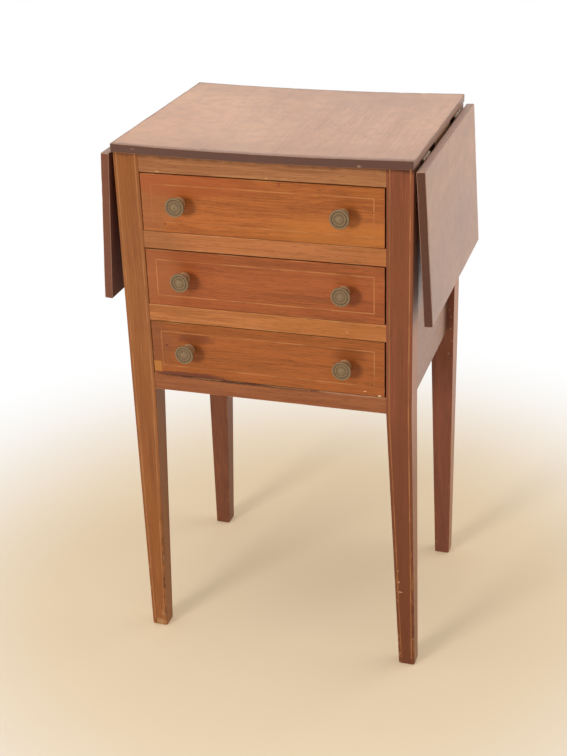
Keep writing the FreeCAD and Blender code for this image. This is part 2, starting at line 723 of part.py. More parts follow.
def leaf_pieces():
    """What swings with each leaf, and the stays' arms."""
    plates = [hinge_half(y, 1, (1,), (0, 2), PIN_RADIUS + PIN_CLEARANCE) for y in hinge_places()]
    pieces = both_sides("leaf", hung(raised_leaf()))
    pieces.update(both_sides("hinge_leaf_plates", hung(Part.makeCompound(plates))))
    pieces.update(both_sides("stay_leaf_plate", hung(stay_leaf_plate())))
    pieces.update(both_sides("stay_long_arm", stay_long_arm()))
    pieces.update(both_sides("stay_short_arm", stay_short_arm()))
    return pieces


def main():
    """Build every piece and write each to its own file."""
    pieces = case_pieces()
    pieces.update(leaf_pieces())
    for index, name in enumerate(DRAWER_NAMES):
        pieces.update(drawer(name, index))
    os.makedirs("parts", exist_ok=True)
    for name, shape in pieces.items():
        shape.exportStep(f"parts/{name}.step")
        print(f"{name}: {len(shape.Solids)} solids, {shape.Volume:.0f} mm3, valid {shape.isValid()}")
    print(f"{len(pieces)} nodes")


main()
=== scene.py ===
# %% [markdown]
# # A sewing stand with two drop leaves
# The stand is a narrow case of three drawers on four tapered legs, with a leaf hinged to each side of its
# top. The packed model already brings every board, rail, hinge and stay in its place, in metres. All of it
# could be drawn again here, but then two models would have to be kept alike. So this lesson only adds what
# a solid model lacks: boards with worn edges, chased brass knobs, screws, wood, light and a camera.

# %% The frame and its box
import math

import bmesh
import bpy
import numpy as np
from mathutils import Matrix, Vector


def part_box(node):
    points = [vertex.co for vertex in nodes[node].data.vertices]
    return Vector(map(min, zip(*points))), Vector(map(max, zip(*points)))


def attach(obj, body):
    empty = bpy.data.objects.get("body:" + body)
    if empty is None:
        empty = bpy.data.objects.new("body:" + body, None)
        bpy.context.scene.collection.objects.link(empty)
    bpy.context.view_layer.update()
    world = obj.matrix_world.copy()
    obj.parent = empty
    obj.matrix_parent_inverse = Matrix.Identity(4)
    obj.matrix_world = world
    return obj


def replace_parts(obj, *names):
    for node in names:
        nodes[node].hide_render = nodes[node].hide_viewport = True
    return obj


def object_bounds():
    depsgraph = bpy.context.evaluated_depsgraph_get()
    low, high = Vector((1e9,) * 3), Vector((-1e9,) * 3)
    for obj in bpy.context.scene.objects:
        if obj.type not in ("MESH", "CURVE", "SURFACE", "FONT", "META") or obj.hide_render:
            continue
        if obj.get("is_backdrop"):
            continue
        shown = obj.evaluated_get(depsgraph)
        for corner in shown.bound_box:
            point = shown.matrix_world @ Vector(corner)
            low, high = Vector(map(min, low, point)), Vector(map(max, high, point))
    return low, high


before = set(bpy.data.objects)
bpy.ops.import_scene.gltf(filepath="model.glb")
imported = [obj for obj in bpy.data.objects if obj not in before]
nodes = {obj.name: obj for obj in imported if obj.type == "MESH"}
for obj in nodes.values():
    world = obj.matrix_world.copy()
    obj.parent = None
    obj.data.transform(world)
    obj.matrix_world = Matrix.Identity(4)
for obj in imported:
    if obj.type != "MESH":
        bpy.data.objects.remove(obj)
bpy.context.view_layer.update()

# %% [markdown]
# ## The camera
# The camera stands a little to the right of the stand and looks down on its top. A constraint could aim it,
# but that would keep the picture level. So its matrix is written out. A camera is a place and three
# directions, back, right and up, and turning right and up about back by a small roll leans the picture, as a
# hand-held camera does. The lens is the focal length in pixels, scaled to a 36 mm sensor.

# %% Camera
PICTURE_HEIGHT = 756
FOCAL_PIXELS = 1384.84
SENSOR_MM = 36.0
NEAREST, FURTHEST = 0.05, 100.0
CAMERA_PLACE = Vector((0.53111, -1.71392, 1.21566))
CAMERA_ROUND, CAMERA_DOWN, CAMERA_ROLL = (math.radians(v) for v in (18.01, 25.52, -1.94))


def put(name, data):
    """A new object in the scene, which holds a lens, a lamp or a mesh."""
    made = bpy.data.objects.new(name, data)
    bpy.context.scene.collection.objects.link(made)
    return made


back = Vector((math.sin(CAMERA_ROUND) * math.cos(CAMERA_DOWN),
               -math.cos(CAMERA_ROUND) * math.cos(CAMERA_DOWN), math.sin(CAMERA_DOWN)))
level = Vector((math.cos(CAMERA_ROUND), math.sin(CAMERA_ROUND), 0.0))
upright = back.cross(level)
right = math.cos(CAMERA_ROLL) * level + math.sin(CAMERA_ROLL) * upright
up = back.cross(right)

lens = bpy.data.cameras.new("camera")
lens.sensor_width = SENSOR_MM
lens.lens = FOCAL_PIXELS / PICTURE_HEIGHT * SENSOR_MM
lens.clip_start, lens.clip_end = NEAREST, FURTHEST
camera = put("camera", lens)
camera.matrix_world = Matrix.Translation(CAMERA_PLACE) @ Matrix((right, up, back)).transposed().to_4x4()
bpy.context.scene.camera = camera
print("lens", round(lens.lens, 2), "mm")

# %% [markdown]
# ## Shader maths
# A material is a graph of nodes. It could be drawn in the shader editor, but then it couldn't be read here,
# and a script that makes and links nodes one by one is hard to follow. So a small class wraps one output
# socket. Adding, subtracting or multiplying two of them puts in a Math node, so that a mask reads as a
# formula, and one method makes every other kind of node.

# %% A value on its way through the nodes
# a Mix node has sockets for numbers, vectors and colours: these are the places of those for colours
MIX_FACTOR, MIX_FIRST, MIX_SECOND, MIX_RESULT = 0, 6, 7, 2


def maths(operation, swapped=False):
    """A method that puts in a Math node on the value itself and the other one, if there is one."""
    def method(self, *others):
        values = (*others, self) if swapped else (self, *others)
        return self.node("Math", {"operation": operation}, dict(enumerate(values)))
    return method


class Flow:
    """An output socket of a node tree. Operators on it add Math nodes, and node() adds any other node."""

    def __init__(self, tree, socket=None):
        self.tree, self.socket = tree, socket

    def node(self, kind, settings=None, inputs=None, output=0):
        """Add a node: first its settings, then a value or a link for each named or numbered socket."""
        made = self.tree.nodes.new("ShaderNode" + kind)
        for name, value in (settings or {}).items():
            setattr(made, name, value)
        for key, value in (inputs or {}).items():
            if isinstance(value, Flow):
                self.tree.links.new(value.socket, made.inputs[key])
            else:
                made.inputs[key].default_value = value
        return Flow(self.tree, made.outputs[output] if made.outputs else None)

    def other(self, output):
        """Another output of the same node."""
        return Flow(self.tree, self.socket.node.outputs[output])

    __add__ = __radd__ = maths("ADD")
    __mul__ = __rmul__ = maths("MULTIPLY")
    __sub__, __rsub__ = maths("SUBTRACT"), maths("SUBTRACT", swapped=True)
    __abs__ = maths("ABSOLUTE")
    least, most = maths("MINIMUM"), maths("MAXIMUM")

    def step(self, low, high):
        """0 below low, 1 above high, and a smooth rise between them."""
        return self.node("MapRange", {"interpolation_type": "SMOOTHSTEP"},
                         {"Value": self, "From Min": low, "From Max": high})

    def mix(self, first, second):
        """The first colour where this value is 0, the second where it is 1."""
        return self.node("Mix", {"data_type": "RGBA"},
                         {MIX_FACTOR: self, MIX_FIRST: first, MIX_SECOND: second}, MIX_RESULT)

    def parts(self):
        """The three coordinates of a vector."""
        split = self.node("SeparateXYZ", inputs={0: self})
        return [split.other(axis) for axis in range(3)]

    def length(self):
        """The length of a vector."""
        return self.node("VectorMath", {"operation": "LENGTH"}, {0: self}, "Value")

    def noise(self, scale, detail=2.0, **more):
        """Noise with about so many lumps to the metre, laid out on this vector."""
        return self.node("TexNoise", inputs={"Vector": self, "Scale": scale, "Detail": detail, **more})

    def attribute(self, name):
        """A number that the mesh carries at each of its points."""
        return self.node("Attribute", {"attribute_name": name}, output="Fac")


print("a value can", ", ".join(name for name in vars(Flow) if not name.startswith("_")))

# %% Colours, and the start and end of a material
def colour(code):
    """Linear colour of a code such as B16637: each pair is a display value, raised to its linear light."""
    shown = np.array([int(code[start:start + 2], 16) for start in (0, 2, 4)]) / 255
    linear = np.where(shown <= 0.04045, shown / 12.92, ((shown + 0.055) / 1.055) ** 2.4)
    return (*(float(v) for v in linear), 1.0)


def new_finish(name):
    """An empty material, and the Object coordinates that its patterns are laid out on."""
    material = bpy.data.materials.new(name)
    material.use_nodes = True
    material.node_tree.nodes.clear()
    return material, Flow(material.node_tree).node("TexCoord", output="Object")


def close_finish(place, varying, fixed, height, relief):
    """End a material: varying values are linked, constant ones set on the shader, height becomes bump."""
    bump = place.node("Bump", inputs={"Strength": 1.0, "Distance": relief, "Height": height})
    shader = place.node("BsdfPrincipled", inputs={**fixed, **varying, "Normal": bump})
    place.node("OutputMaterial", inputs={"Surface": shader})


print("a pale tan in linear light is", [round(v, 3) for v in colour("C79A6B")[:3]])

# %% [markdown]
# ## Pieces from numbers
# A new piece is a mesh of points and four-sided faces. It could be pushed into shape by hand in edit mode,
# but then nothing tells later why it has that shape. Here a shape is a grid of points worked out by a formula
# with numpy, all points at once, and two helpers turn such a grid into an object.

# %% Grids and pieces
MERGE_WITHIN = 1e-6


def grid_quads(rows, columns, wrap=False):
    """Quads between neighbouring points of a grid: the point of row r and column c has the number
    r times columns plus c. Wrap joins the last column to the first."""
    row = np.arange(rows - 1)[:, None]
    column = np.arange(columns if wrap else columns - 1)[None, :]
    beside = (column + 1) % columns
    corners = [row * columns + column, row * columns + beside,
               (row + 1) * columns + beside, (row + 1) * columns + column]
    return np.stack(corners, -1).reshape(-1, 4)


def mesh_piece(name, points, quads, **values):
    """An object from arrays of points and quads. Doubled points are merged, and values become attributes."""
    mesh = bpy.data.meshes.new(name)
    mesh.from_pydata(np.asarray(points).tolist(), [], quads.tolist())
    for key, numbers in values.items():
        carried = mesh.attributes.new(key, "FLOAT", "POINT").data
        carried.foreach_set("value", np.asarray(numbers, np.float32))
    work = bmesh.new()
    work.from_mesh(mesh)
    bmesh.ops.remove_doubles(work, verts=work.verts, dist=MERGE_WITHIN)
    bmesh.ops.recalc_face_normals(work, faces=work.faces)
    work.to_mesh(mesh)
    work.free()
    mesh.polygons.foreach_set("use_smooth", np.ones(len(mesh.polygons), bool))
    return put(name, mesh)


print("3 by 4 points have", len(grid_quads(3, 4)), "quads, or", len(grid_quads(3, 4, wrap=True)), "wrapped")

# %% [markdown]
# ## Floor and light
# The stand is shown on a plain pale floor in soft light. White paper and large lamps would do it in a studio.
# Here a lamp at the front left gives the knobs their shadows, one overhead lights the top, one at the back
# right lights the side of the case, and the world fills in the rest. More light would turn the floor white,
# but the wood with it. So Light Path picks out the rays that show the floor and the world: for them the world
# is white, and the floor's shadow is softened with tan and fades to white away from the stand.

# %% Floor
FLOOR_RADIUS = 8.0


def spoke_angles(count):
    """Angles of so many spokes, evenly round."""
    return np.arange(count) * 2 * np.pi / count


def round_floor(radius, rings, spokes):
    """Disc: the point of ring r and spoke a is (r cos a, r sin a, 0)."""
    r, a = np.meshgrid(np.linspace(0, radius, rings), spoke_angles(spokes), indexing="ij")
    points = np.stack([r * np.cos(a), r * np.sin(a), np.zeros_like(r)], -1).reshape(-1, 3)
    return points, grid_quads(rings, spokes, wrap=True)


floor = mesh_piece("floor", *round_floor(FLOOR_RADIUS, rings=12, spokes=96))
if floor.data.polygons[0].normal.z < 0:
    floor.data.flip_normals()
floor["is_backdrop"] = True
print("floor of", len(floor.data.polygons), "faces")

# %% Floor paint
WHITE = (1.0, 1.0, 1.0, 1.0)
FADE_START, FADE_END = 0.34, 0.95
SHADOW_FILL = 0.3
MOTTLE_SCALE = 1.5


def seen_rays(flow):
    """1 for the rays that show a surface itself: camera, reflected and refracted ones."""
    rays = flow.node("LightPath", output="Is Camera Ray")
    return rays.most(rays.other("Is Glossy Ray")).most(rays.other("Is Transmission Ray"))


def glow(flow, tint):
    """A surface that shows this colour in any light."""
    return flow.node("Emission", inputs={"Color": tint, "Strength": 1.0})


material, place = new_finish("pale_floor")
shown = seen_rays(place)
away = place.length().step(FADE_START, FADE_END)
mottle = place.noise(MOTTLE_SCALE).mix(colour("F6DFBB"), colour("F9E7C9"))
paint = place.node("BsdfPrincipled", inputs={"Base Color": mottle, "Roughness": 0.7,
                                             "Specular IOR Level": 0.2})
softened = place.node("MixShader", inputs={0: shown * SHADOW_FILL, 1: paint,
                                           2: glow(place, colour("F2D6AE"))})
blend = place.node("MixShader", inputs={0: shown * away, 1: softened, 2: glow(place, WHITE)})
place.node("OutputMaterial", inputs={"Surface": blend})
floor.data.materials.append(material)
print("floor paint of", len(material.node_tree.nodes), "nodes")

# %% World
AMBIENT = 0.24

world = bpy.data.worlds.new("studio")
world.use_nodes = True
world.node_tree.nodes.clear()
bpy.context.scene.world = world
seen = seen_rays(Flow(world.node_tree))
sky = seen.node("Background", inputs={"Color": WHITE, "Strength": AMBIENT + seen * (1 - AMBIENT)})
seen.node("OutputWorld", inputs={"Surface": sky})
bpy.context.scene.view_settings.view_transform = "Standard"
print("a white world, with a light of", AMBIENT)

# %% Lamps
def soft_lamp(name, place, aim, size, watts, mirrored=True):
    """A square lamp that shines from its place towards its aim. Unless mirrored, polish shows no bright
    image of it."""
    lamp = bpy.data.lights.new(name, "AREA")
    lamp.size = size
    lamp.energy = watts
    holder = put(name, lamp)
    turn = (Vector(place) - Vector(aim)).to_track_quat("Z", "Y").to_matrix().to_4x4()
    holder.matrix_world = Matrix.Translation(place) @ turn
    holder.visible_glossy = mirrored


soft_lamp("window_lamp", place=(-1.4, -3.0, 1.3), aim=(0.0, 0.0, 0.5), size=0.9, watts=64.0, mirrored=False)
soft_lamp("ceiling_lamp", place=(-0.2, -0.2, 2.8), aim=(0.0, 0.0, 0.6), size=2.0, watts=27.5)
soft_lamp("side_lamp", place=(2.0, 1.1, 1.2), aim=(0.0, 0.0, 0.5), size=2.2, watts=25.0)
print(len(bpy.data.lights), "lamps")

# %% [markdown]
# ## Wood
# Every board here is old polished hardwood, and no two have the same colour. A picture of wood could be
# wrapped round a board, but it would repeat, and the ends would show the wrong grain. So the wood fills the
# space that the board is cut from. Sawn wood shows several scales at once: slow bands of colour, streaks,
# fibres, and pores as fine dark dashes. Each is a noise drawn out along the grain by a Mapping node, and a
# slow drift bends them all a little, because a real board is never ruler-straight.

# %% Grain
X, Y, Z = range(3)
# lumps to the metre along the grain, lumps to the metre across it, and levels of detail
GRAIN = {
    "bands": (1.5, 32.0, 2.0),
    "streaks": (7.0, 210.0, 5.0),
    "fibres": (16.0, 840.0, 3.0),
    "pores": (75.0, 1300.0, 2.0),
    "clouds": (6.0, 15.0, 3.0),
    "specks": (60.0, 700.0, 2.0),
    "rubs": (22.0, 70.0, 3.0),
}
DRIFT = (4.0, 9.0, 1.0)
SEED_SHIFT = (3.1, 1.7, 2.3)


def drawn_noise(place, axis, seed, along, across, detail=2.0):
    """Noise with so many lumps to the metre along the grain axis, and so many across it."""
    scale = [across] * 3
    scale[axis] = along
    laid = place.node("Mapping", inputs={"Vector": place, "Scale": scale,
                                         "Location": [shift * seed for shift in SEED_SHIFT]})
    return laid.noise(1.0, detail, Roughness=0.55)


def figure(place, axis, seed, kind):
    """One kind of figure in the wood, with a seed of its own."""
    return drawn_noise(place, axis, seed + list(GRAIN).index(kind), *GRAIN[kind])


def bent_grain(place, axis, seed, sway):
    """Coordinates pushed across the grain by a slow noise of that many metres."""
    drift = (drawn_noise(place, axis, seed, *DRIFT) - 0.5) * sway
    push = place.node("CombineXYZ", inputs={other: drift for other in (X, Y, Z) if other != axis})
    return place.node("VectorMath", {"operation": "ADD"}, {0: place, 1: push})


for kind, (along, across, _) in GRAIN.items():
    print(kind, "about", round(1000 / across, 1), "mm wide and", round(1000 / along), "mm long")

# %% [markdown]
# ## Wear
# Polish goes first where hands, cloth and feet rub: on the arrises, the sharp edges of a board. They could be
# painted point by point, but a board's solid has no points between its corners to hold the paint. Its
# coordinates are enough. A point of the surface lies on one pair of faces, so of its three distances to the
# pairs of faces the middle one is the distance to the nearest arris.

# %% Distances to an arris
MM = 0.001
CASE_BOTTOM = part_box("bottom_rail")[0].z
CASE_SIDE = 195 * MM
LEG_SIZE, FOOT_SIZE = 34 * MM, 22.5 * MM
FOOT_DRIFT = {"front_left_leg": 0.8 * MM, "front_right_leg": 7.8 * MM,
              "back_left_leg": -4.7 * MM, "back_right_leg": -1.2 * MM}
RUB_FADE = 0.003
EASED_REACH = 2.0 * MM


def board_edge(node):
    """Distance to the nearest arris of a board, as a function of the place."""
    low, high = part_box(node)

    def edge(place):
        x, y, z = [(part - low[axis]).least(high[axis] - part) for axis, part in enumerate(place.parts())]
        return x.least(y).most(x.most(y).least(z))
    return edge


def leg_edge(node):
    """Distance to the nearest arris of a leg that draws in and drifts towards its foot. It grows a little
    with the height, so that the foot is rubbed more."""
    low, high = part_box(node)
    outer_y = high.y if low.y > 0 else -low.y
    side_x, side_y = (1 if low.x > 0 else -1), (1 if low.y > 0 else -1)

    def edge(place):
        x, y, z = place.parts()
        below = (1 - z * (1 / CASE_BOTTOM)).most(0.0)
        width = LEG_SIZE - (LEG_SIZE - FOOT_SIZE) * below
        in_x = CASE_SIDE - (x - below * FOOT_DRIFT[node]) * side_x
        in_y = outer_y - y * side_y
        return in_x.least(width - in_x).most(in_y.least(width - in_y)) + z * RUB_FADE
    return edge


def rubbed_edge(place):
    """Distance to an arris from the attribute that the eased boards carry."""
    return (1 - place.attribute("worn")) * EASED_REACH


print("the legs draw in below a height of", round(CASE_BOTTOM, 4), "m")

# %% [markdown]
# ## Marks
# What tells one old board from another is its own history: a dark knot, a chipped edge, a let-in patch, a
# cloud of faded polish. Some marks here are painted shade and painted highlights instead. They could be thin
# pieces laid on the board, but a mark in the polish has no thickness. So each mark is a mask, a function that
# gives 1 inside it and 0 outside, and the colour that shows there. A noise added to the distance from the
# middle makes the outline ragged.

# %% Masks of single marks
PATCH_LUMPS = 1.2
PATCH_RIM = (0.45, 1.0)
SHARP_EDGE = 0.5 * MM


def patch(x, z, wide, tall, strength=1.0, ragged=0.6):
    """Ragged oval on a front: its middle and its two half widths, in metres."""
    def mask(place):
        across, _, upward = place.parts()
        from_middle = place.node("CombineXYZ", inputs={X: (across - x) * (1 / wide),
                                                       Y: (upward - z) * (1 / tall)})
        lumps = place.noise(PATCH_LUMPS / tall, 3.0)
        return (1 - (from_middle.length() + (lumps - 0.5) * ragged).step(*PATCH_RIM)) * strength
    return mask


def let_in(x0, x1, z0, z1, strength):
    """Oblong of veneer with sharp edges, let into a front."""
    def mask(place):
        across, _, upward = place.parts()
        nearest = (across - x0).least(x1 - across).least(upward - z0).least(z1 - upward)
        return nearest.step(0.0, SHARP_EDGE) * strength
    return mask


print("masks of single marks: patch, let_in")

# %% Masks over a whole face
BAND_RAGGED, BAND_RIM = 0.9, (0.3, 1.0)
FACING_RANGE = (0.6, 0.9)


def cloudy(scale, low, high, strength, seed):
    """Soft clouds, where a slow noise goes from low to high."""
    def mask(place):
        moved = place.node("Mapping", inputs={"Vector": place, "Location": (seed, 2.0 * seed, 3.0 * seed)})
        return moved.noise(scale, 3.0).step(low, high) * strength
    return mask


def swirls(scale, thin, strength):
    """Fine curving lines: the places where a bent noise is close to its middle value."""
    def mask(place):
        bent = place.noise(scale, 1.5, Distortion=0.8)
        return (1 - abs(bent - 0.5).step(0.0, thin)) * strength
    return mask


def beside_edge(axis, level, fade, strength, scale=60.0):
    """Band from a level towards lower values of one coordinate, or higher ones if fade is negative. It
    fades out over that many metres, and noise breaks it up."""
    def mask(place):
        depth = (level - place.parts()[axis]) * (1 / fade)
        broken = place.noise(scale, 3.0)
        return (1 - (depth + (broken - 0.5) * BAND_RAGGED).step(*BAND_RIM)) * strength
    return mask


def facing(axis, sign, strength=1.0):
    """The faces that look along one axis, or against it: an underside, an edge, an outer side."""
    def mask(place):
        return (place.other("Normal").parts()[axis] * sign).step(*FACING_RANGE) * strength
    return mask


print("masks over a whole face: cloudy, swirls, beside_edge, facing")

# %% [markdown]
# ## The finish of the wood
# Polish brings out the figure of the wood, darkens its pores and the cut ends, and wears off at the arrises.
# Layers of shaders could be stacked for this, but the export keeps one shader with one colour. So the layers
# are mixed as colours, in the order in which they came to the board: tone, pores, marks, end grain, wear.

# %% Wood finish
BAND_SHARE, STREAK_SHARE, FIBRE_SHARE = 0.32, 0.26, 0.42
PORE_RANGE, CLOUD_RANGE, RUB_RANGE = (0.56, 0.7), (0.42, 0.75), (0.38, 0.7)
CUT_RANGE = (0.75, 0.95)
CLOUD_BLUSH = 0.65
RUB_SOFT = 0.9 * MM
WOOD_RELIEF = 0.12 * MM


def end_grain(place, axis):
    """1 on faces that cut across the grain, 0 on faces along it."""
    return abs(place.other("Normal").parts()[axis]).step(*CUT_RANGE)


def marked(place, tint, marks):
    """The tint with these marks laid over it, one after the other."""
    for mask, code in marks:
        tint = mask(place).mix(tint, colour(code))
    return tint


def wood(name, axis, seed, tones, end, edge=None, bare="C99A68", wear=0.7, reach=2.2 * MM,
         spread=(0.3, 0.7), pore=0.2, gloss=0.4, shine=0.22, sway=0.008, marks=(), chips=()):
    """Polished wood: tone from bands, streaks and fibres; pores and end grain dark; arrises rubbed pale.
    Marks belong to the faces along the grain, chips show on every face."""
    pale, deep, blush = tones
    material, place = new_finish(name)
    bent = bent_grain(place, axis, seed, sway)
    bands, streaks, fibres = (figure(bent, axis, seed, kind) for kind in ("bands", "streaks", "fibres"))
    pores = figure(bent, axis, seed, "pores").step(*PORE_RANGE)
    clouds = figure(place, axis, seed, "clouds").step(*CLOUD_RANGE)
    specks = figure(place, axis, seed, "specks")
    cut = end_grain(place, axis)

    tone = bands * BAND_SHARE + streaks * STREAK_SHARE + fibres * FIBRE_SHARE
    tint = tone.step(*spread).mix(colour(deep), colour(pale))
    tint = (clouds * CLOUD_BLUSH).mix(tint, colour(blush))
    tint = marked(place, (pores * pore).mix(tint, colour(end)), marks)
    tint = marked(place, (cut * (0.8 + specks * 0.3)).mix(tint, colour(end)), chips)
    rough = gloss + (streaks - 0.5) * 0.18 + pores * 0.12 + cut * 0.12
    if edge:
        ragged = figure(place, axis, seed, "rubs").step(*RUB_RANGE) * reach
        rubbed = (ragged - edge(place)).step(0.0, RUB_SOFT) * wear
        tint = rubbed.mix(tint, colour(bare))
        rough = rough + rubbed * 0.15

    close_finish(place, {"Base Color": tint, "Roughness": rough}, {"Specular IOR Level": shine},
                 height=fibres * 0.5 + streaks * 0.6 - pores * 0.6, relief=WOOD_RELIEF)
    return material


print("the wood's figure stands", round(1000 * WOOD_RELIEF, 2), "mm high")

# %% [markdown]
# ## Legs
# Each leg is one length of straight-grained wood, drawn in below the case. The left front leg has faded to a
# yellowish brown, the right one is redder, the back legs are the darkest, and the outer sides are painted
# paler. The front legs are painted dark just under the top, as painted shade, and feet have knocked specks
# into the arrises. The legs could be made again as new pieces, but their solids have the right shape, so they
# stay, and each only gets the wood with its own seed, tones and marks.

# %% Marks on the legs
CASE_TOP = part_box("top_rail")[1].z
SCUFF_REACH, SCUFF_HEIGHT = (2.0 * MM, 7.0 * MM), (0.04, 0.3)
SCUFF_SHARP, SCUFF_SIDE = 0.05, 2.0 * MM
LEG_SPECKS = [(0.1906, 0.416), (0.1925, 0.377), (0.188, 0.356), (0.1885, 0.4265), (0.1905, 0.397)]


def scuffs(node, scale, low, strength, right_of=-1.0):
    """Small knocks beside the arrises, below knee height: specks of a fine noise, thinning out upwards."""
    def mask(place):
        x, _, z = place.parts()
        near = 1 - leg_edge(node)(place).step(*SCUFF_REACH)
        below = (1 - z.step(*SCUFF_HEIGHT)) * x.step(right_of, right_of + SCUFF_SIDE)
        specks = drawn_noise(place, Z, seed=low * 10, along=scale / 3, across=scale)
        return near * below * specks.step(low, low + SCUFF_SHARP) * strength
    return mask


LEG_MARKS = {
    "front_left_leg": [
        # painted shade under the overhang of the top
        (beside_edge(Z, CASE_TOP, 7 * MM, 0.65), "5A3520"),
        (scuffs("front_left_leg", 150.0, 0.49, 0.7, -0.178), "5A301C"),
        (scuffs("front_left_leg", 330.0, 0.62, 0.6), "C09366"),
        (patch(-0.1815, 0.007, 9 * MM, 6 * MM, 0.55, 1.6), "C29866"),
        (patch(-0.176, 0.022, 4 * MM, 7 * MM, 0.5, 1.3), "B88C5C")],
    "front_right_leg": [
        # painted shade under the overhang of the top
        (beside_edge(Z, CASE_TOP, 8 * MM, 0.8), "462418"),
        (beside_edge(Z, 0.0, -0.5, 0.6, 8.0), "6C3A25"),
        (scuffs("front_right_leg", 150.0, 0.55, 0.55, 0.192), "522C1D"),
        (scuffs("front_right_leg", 300.0, 0.62, 0.6), "BF936A"),
        (patch(0.1985, 0.138, 3 * MM, 16 * MM, 0.5, 1.4), "A06C40"),
        (patch(0.1795, 0.137, 1.5 * MM, 2.5 * MM, 0.8), "D2A880"),
        (patch(0.1815, 0.121, 4 * MM, 1.2 * MM, 0.8), "D2A880"),
        (patch(0.178, 0.155, 1.2 * MM, 2.0 * MM, 0.7), "C89C72")],
    "back_left_leg": [
        (scuffs("back_left_leg", 330.0, 0.64, 0.3), "A9805C")],
    "back_right_leg": [
        (beside_edge(Z, 0.0, -0.4, 0.3, 8.0), "5F3524"),
        (scuffs("back_right_leg", 330.0, 0.65, 0.3), "B08A68"),
        *((patch(x, z, 1.2 * MM, 1.5 * MM, 0.65), "D8C0AA") for x, z in LEG_SPECKS)],
}
print(sum(len(marks) for marks in LEG_MARKS.values()), "marks on the legs")

# %% Legs
SEED_STEP = len(GRAIN)
LEG_TONES = {
    "front_left_leg": ("A06438", "844D29", "92572A"),
    "front_right_leg": ("935339", "794429", "834929"),
    "back_left_leg": ("8B543A", "6A3E2D", "794632"),
    "back_right_leg": ("9E5F49", "794837", "8B523E"),
}


def dress(node, material):
    """Give a node of the packed model this finish in every material slot."""
    for slot in nodes[node].material_slots:
        slot.link = "OBJECT"
        slot.material = material


for number, (node, tones) in enumerate(LEG_TONES.items()):
    # the outer sides of every leg are painted paler
    outer_side = (facing(X, 1 if "right" in node else -1, 0.6), "D39A74")
    dress(node, wood(node + "_wood", Z, seed=11 + SEED_STEP * number, tones=tones, end="4E2A1A",
                     edge=leg_edge(node), bare="AC7846", wear=0.45, reach=2.4 * MM, spread=(0.37, 0.63),
                     marks=[outer_side, *LEG_MARKS[node]]))
print(len(LEG_TONES), "legs dressed")

# %% [markdown]
# ## Rails and panels
# The rails tie the legs together and carry the drawers, and the panels close the case. The top rail is a
# greenish brown, the rails between the drawers are orange, and the bottom rail is redder. The corners under
# the top and beside the back leg are painted dark as painted shade, and the bottom rail has a painted shadow
# of the gap above it and a painted highlight on its top edge. One wood could do for all of them, but then the
# case would look sawn from one plank, so each rail has its own row in a table, and one loop dresses them all.

# %% Rails
RAIL_TONES = {
    "top_rail": ("B3794E", "935E3A", "A3673E"),
    "upper_drawer_rail": ("BB7546", "9F6136", "AB6732"),
    "lower_drawer_rail": ("C07A47", "A06032", "B06A32"),
    "bottom_rail": ("9E603B", "844B2D", "92522D"),
}
RAIL_MARKS = {
    "top_rail": [
        # painted shade under the overhang of the top
        (beside_edge(Z, CASE_TOP, 9 * MM, 0.75), "5C3822"),
        (patch(-0.136, 0.7022, 4 * MM, 1.2 * MM, 0.7), "CFA072"),
        (patch(0.0088, 0.7018, 3 * MM, 1.1 * MM, 0.7), "CC9C6C")],
    "upper_drawer_rail": [
        (beside_edge(X, -0.161, -0.07, 0.55, 20.0), "93603A")],
    "lower_drawer_rail": [
        (patch(0.11, 0.505, 1.5 * MM, 1.2 * MM, 0.7), "D9A878")],
    "bottom_rail": [
        # painted shadow of the gap between the lower drawer and the rail
        (patch(-0.03, 0.4168, 0.15, 3.2 * MM, 0.85, 0.9), "46251B"),
        # painted highlight on the rail's top edge
        (patch(0.115, 0.4165, 0.06, 1.8 * MM, 0.6, 0.5), "B4846C")],
}
for number, (node, tones) in enumerate(RAIL_TONES.items()):
    dress(node, wood(node + "_wood", X, seed=41 + SEED_STEP * number, tones=tones, end="5F3A28",
                     edge=board_edge(node), wear=0.3, spread=(0.41, 0.59), pore=0.45,
                     marks=RAIL_MARKS[node]))
print(len(RAIL_TONES), "rails dressed")

# %% Panels
SIDE_PANELS = ("right_side_panel", "left_side_panel")
SIDE_TONES = ("AC7B57", "926242", "A16F4D")
BACK_TONES = ("8A5A3E", "6A432F", "7A4C35")

# painted shade in the corner beside the back leg
painted_corner_shade = (beside_edge(Y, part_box("back_right_leg")[0].y, 36 * MM, 0.75, 12.0), "4A3022")
for number, node in enumerate(SIDE_PANELS):
    dress(node, wood(node + "_wood", Y, seed=71 + SEED_STEP * number, tones=SIDE_TONES, end="5A3A2C",
                     edge=board_edge(node), gloss=0.36, shine=0.4, marks=[painted_corner_shade]))
dress("back_panel", wood("back_panel_wood", X, seed=87, tones=BACK_TONES, end="4F3225",
                         gloss=0.55, shine=0.3))
print(len(SIDE_PANELS) + 1, "panels dressed")
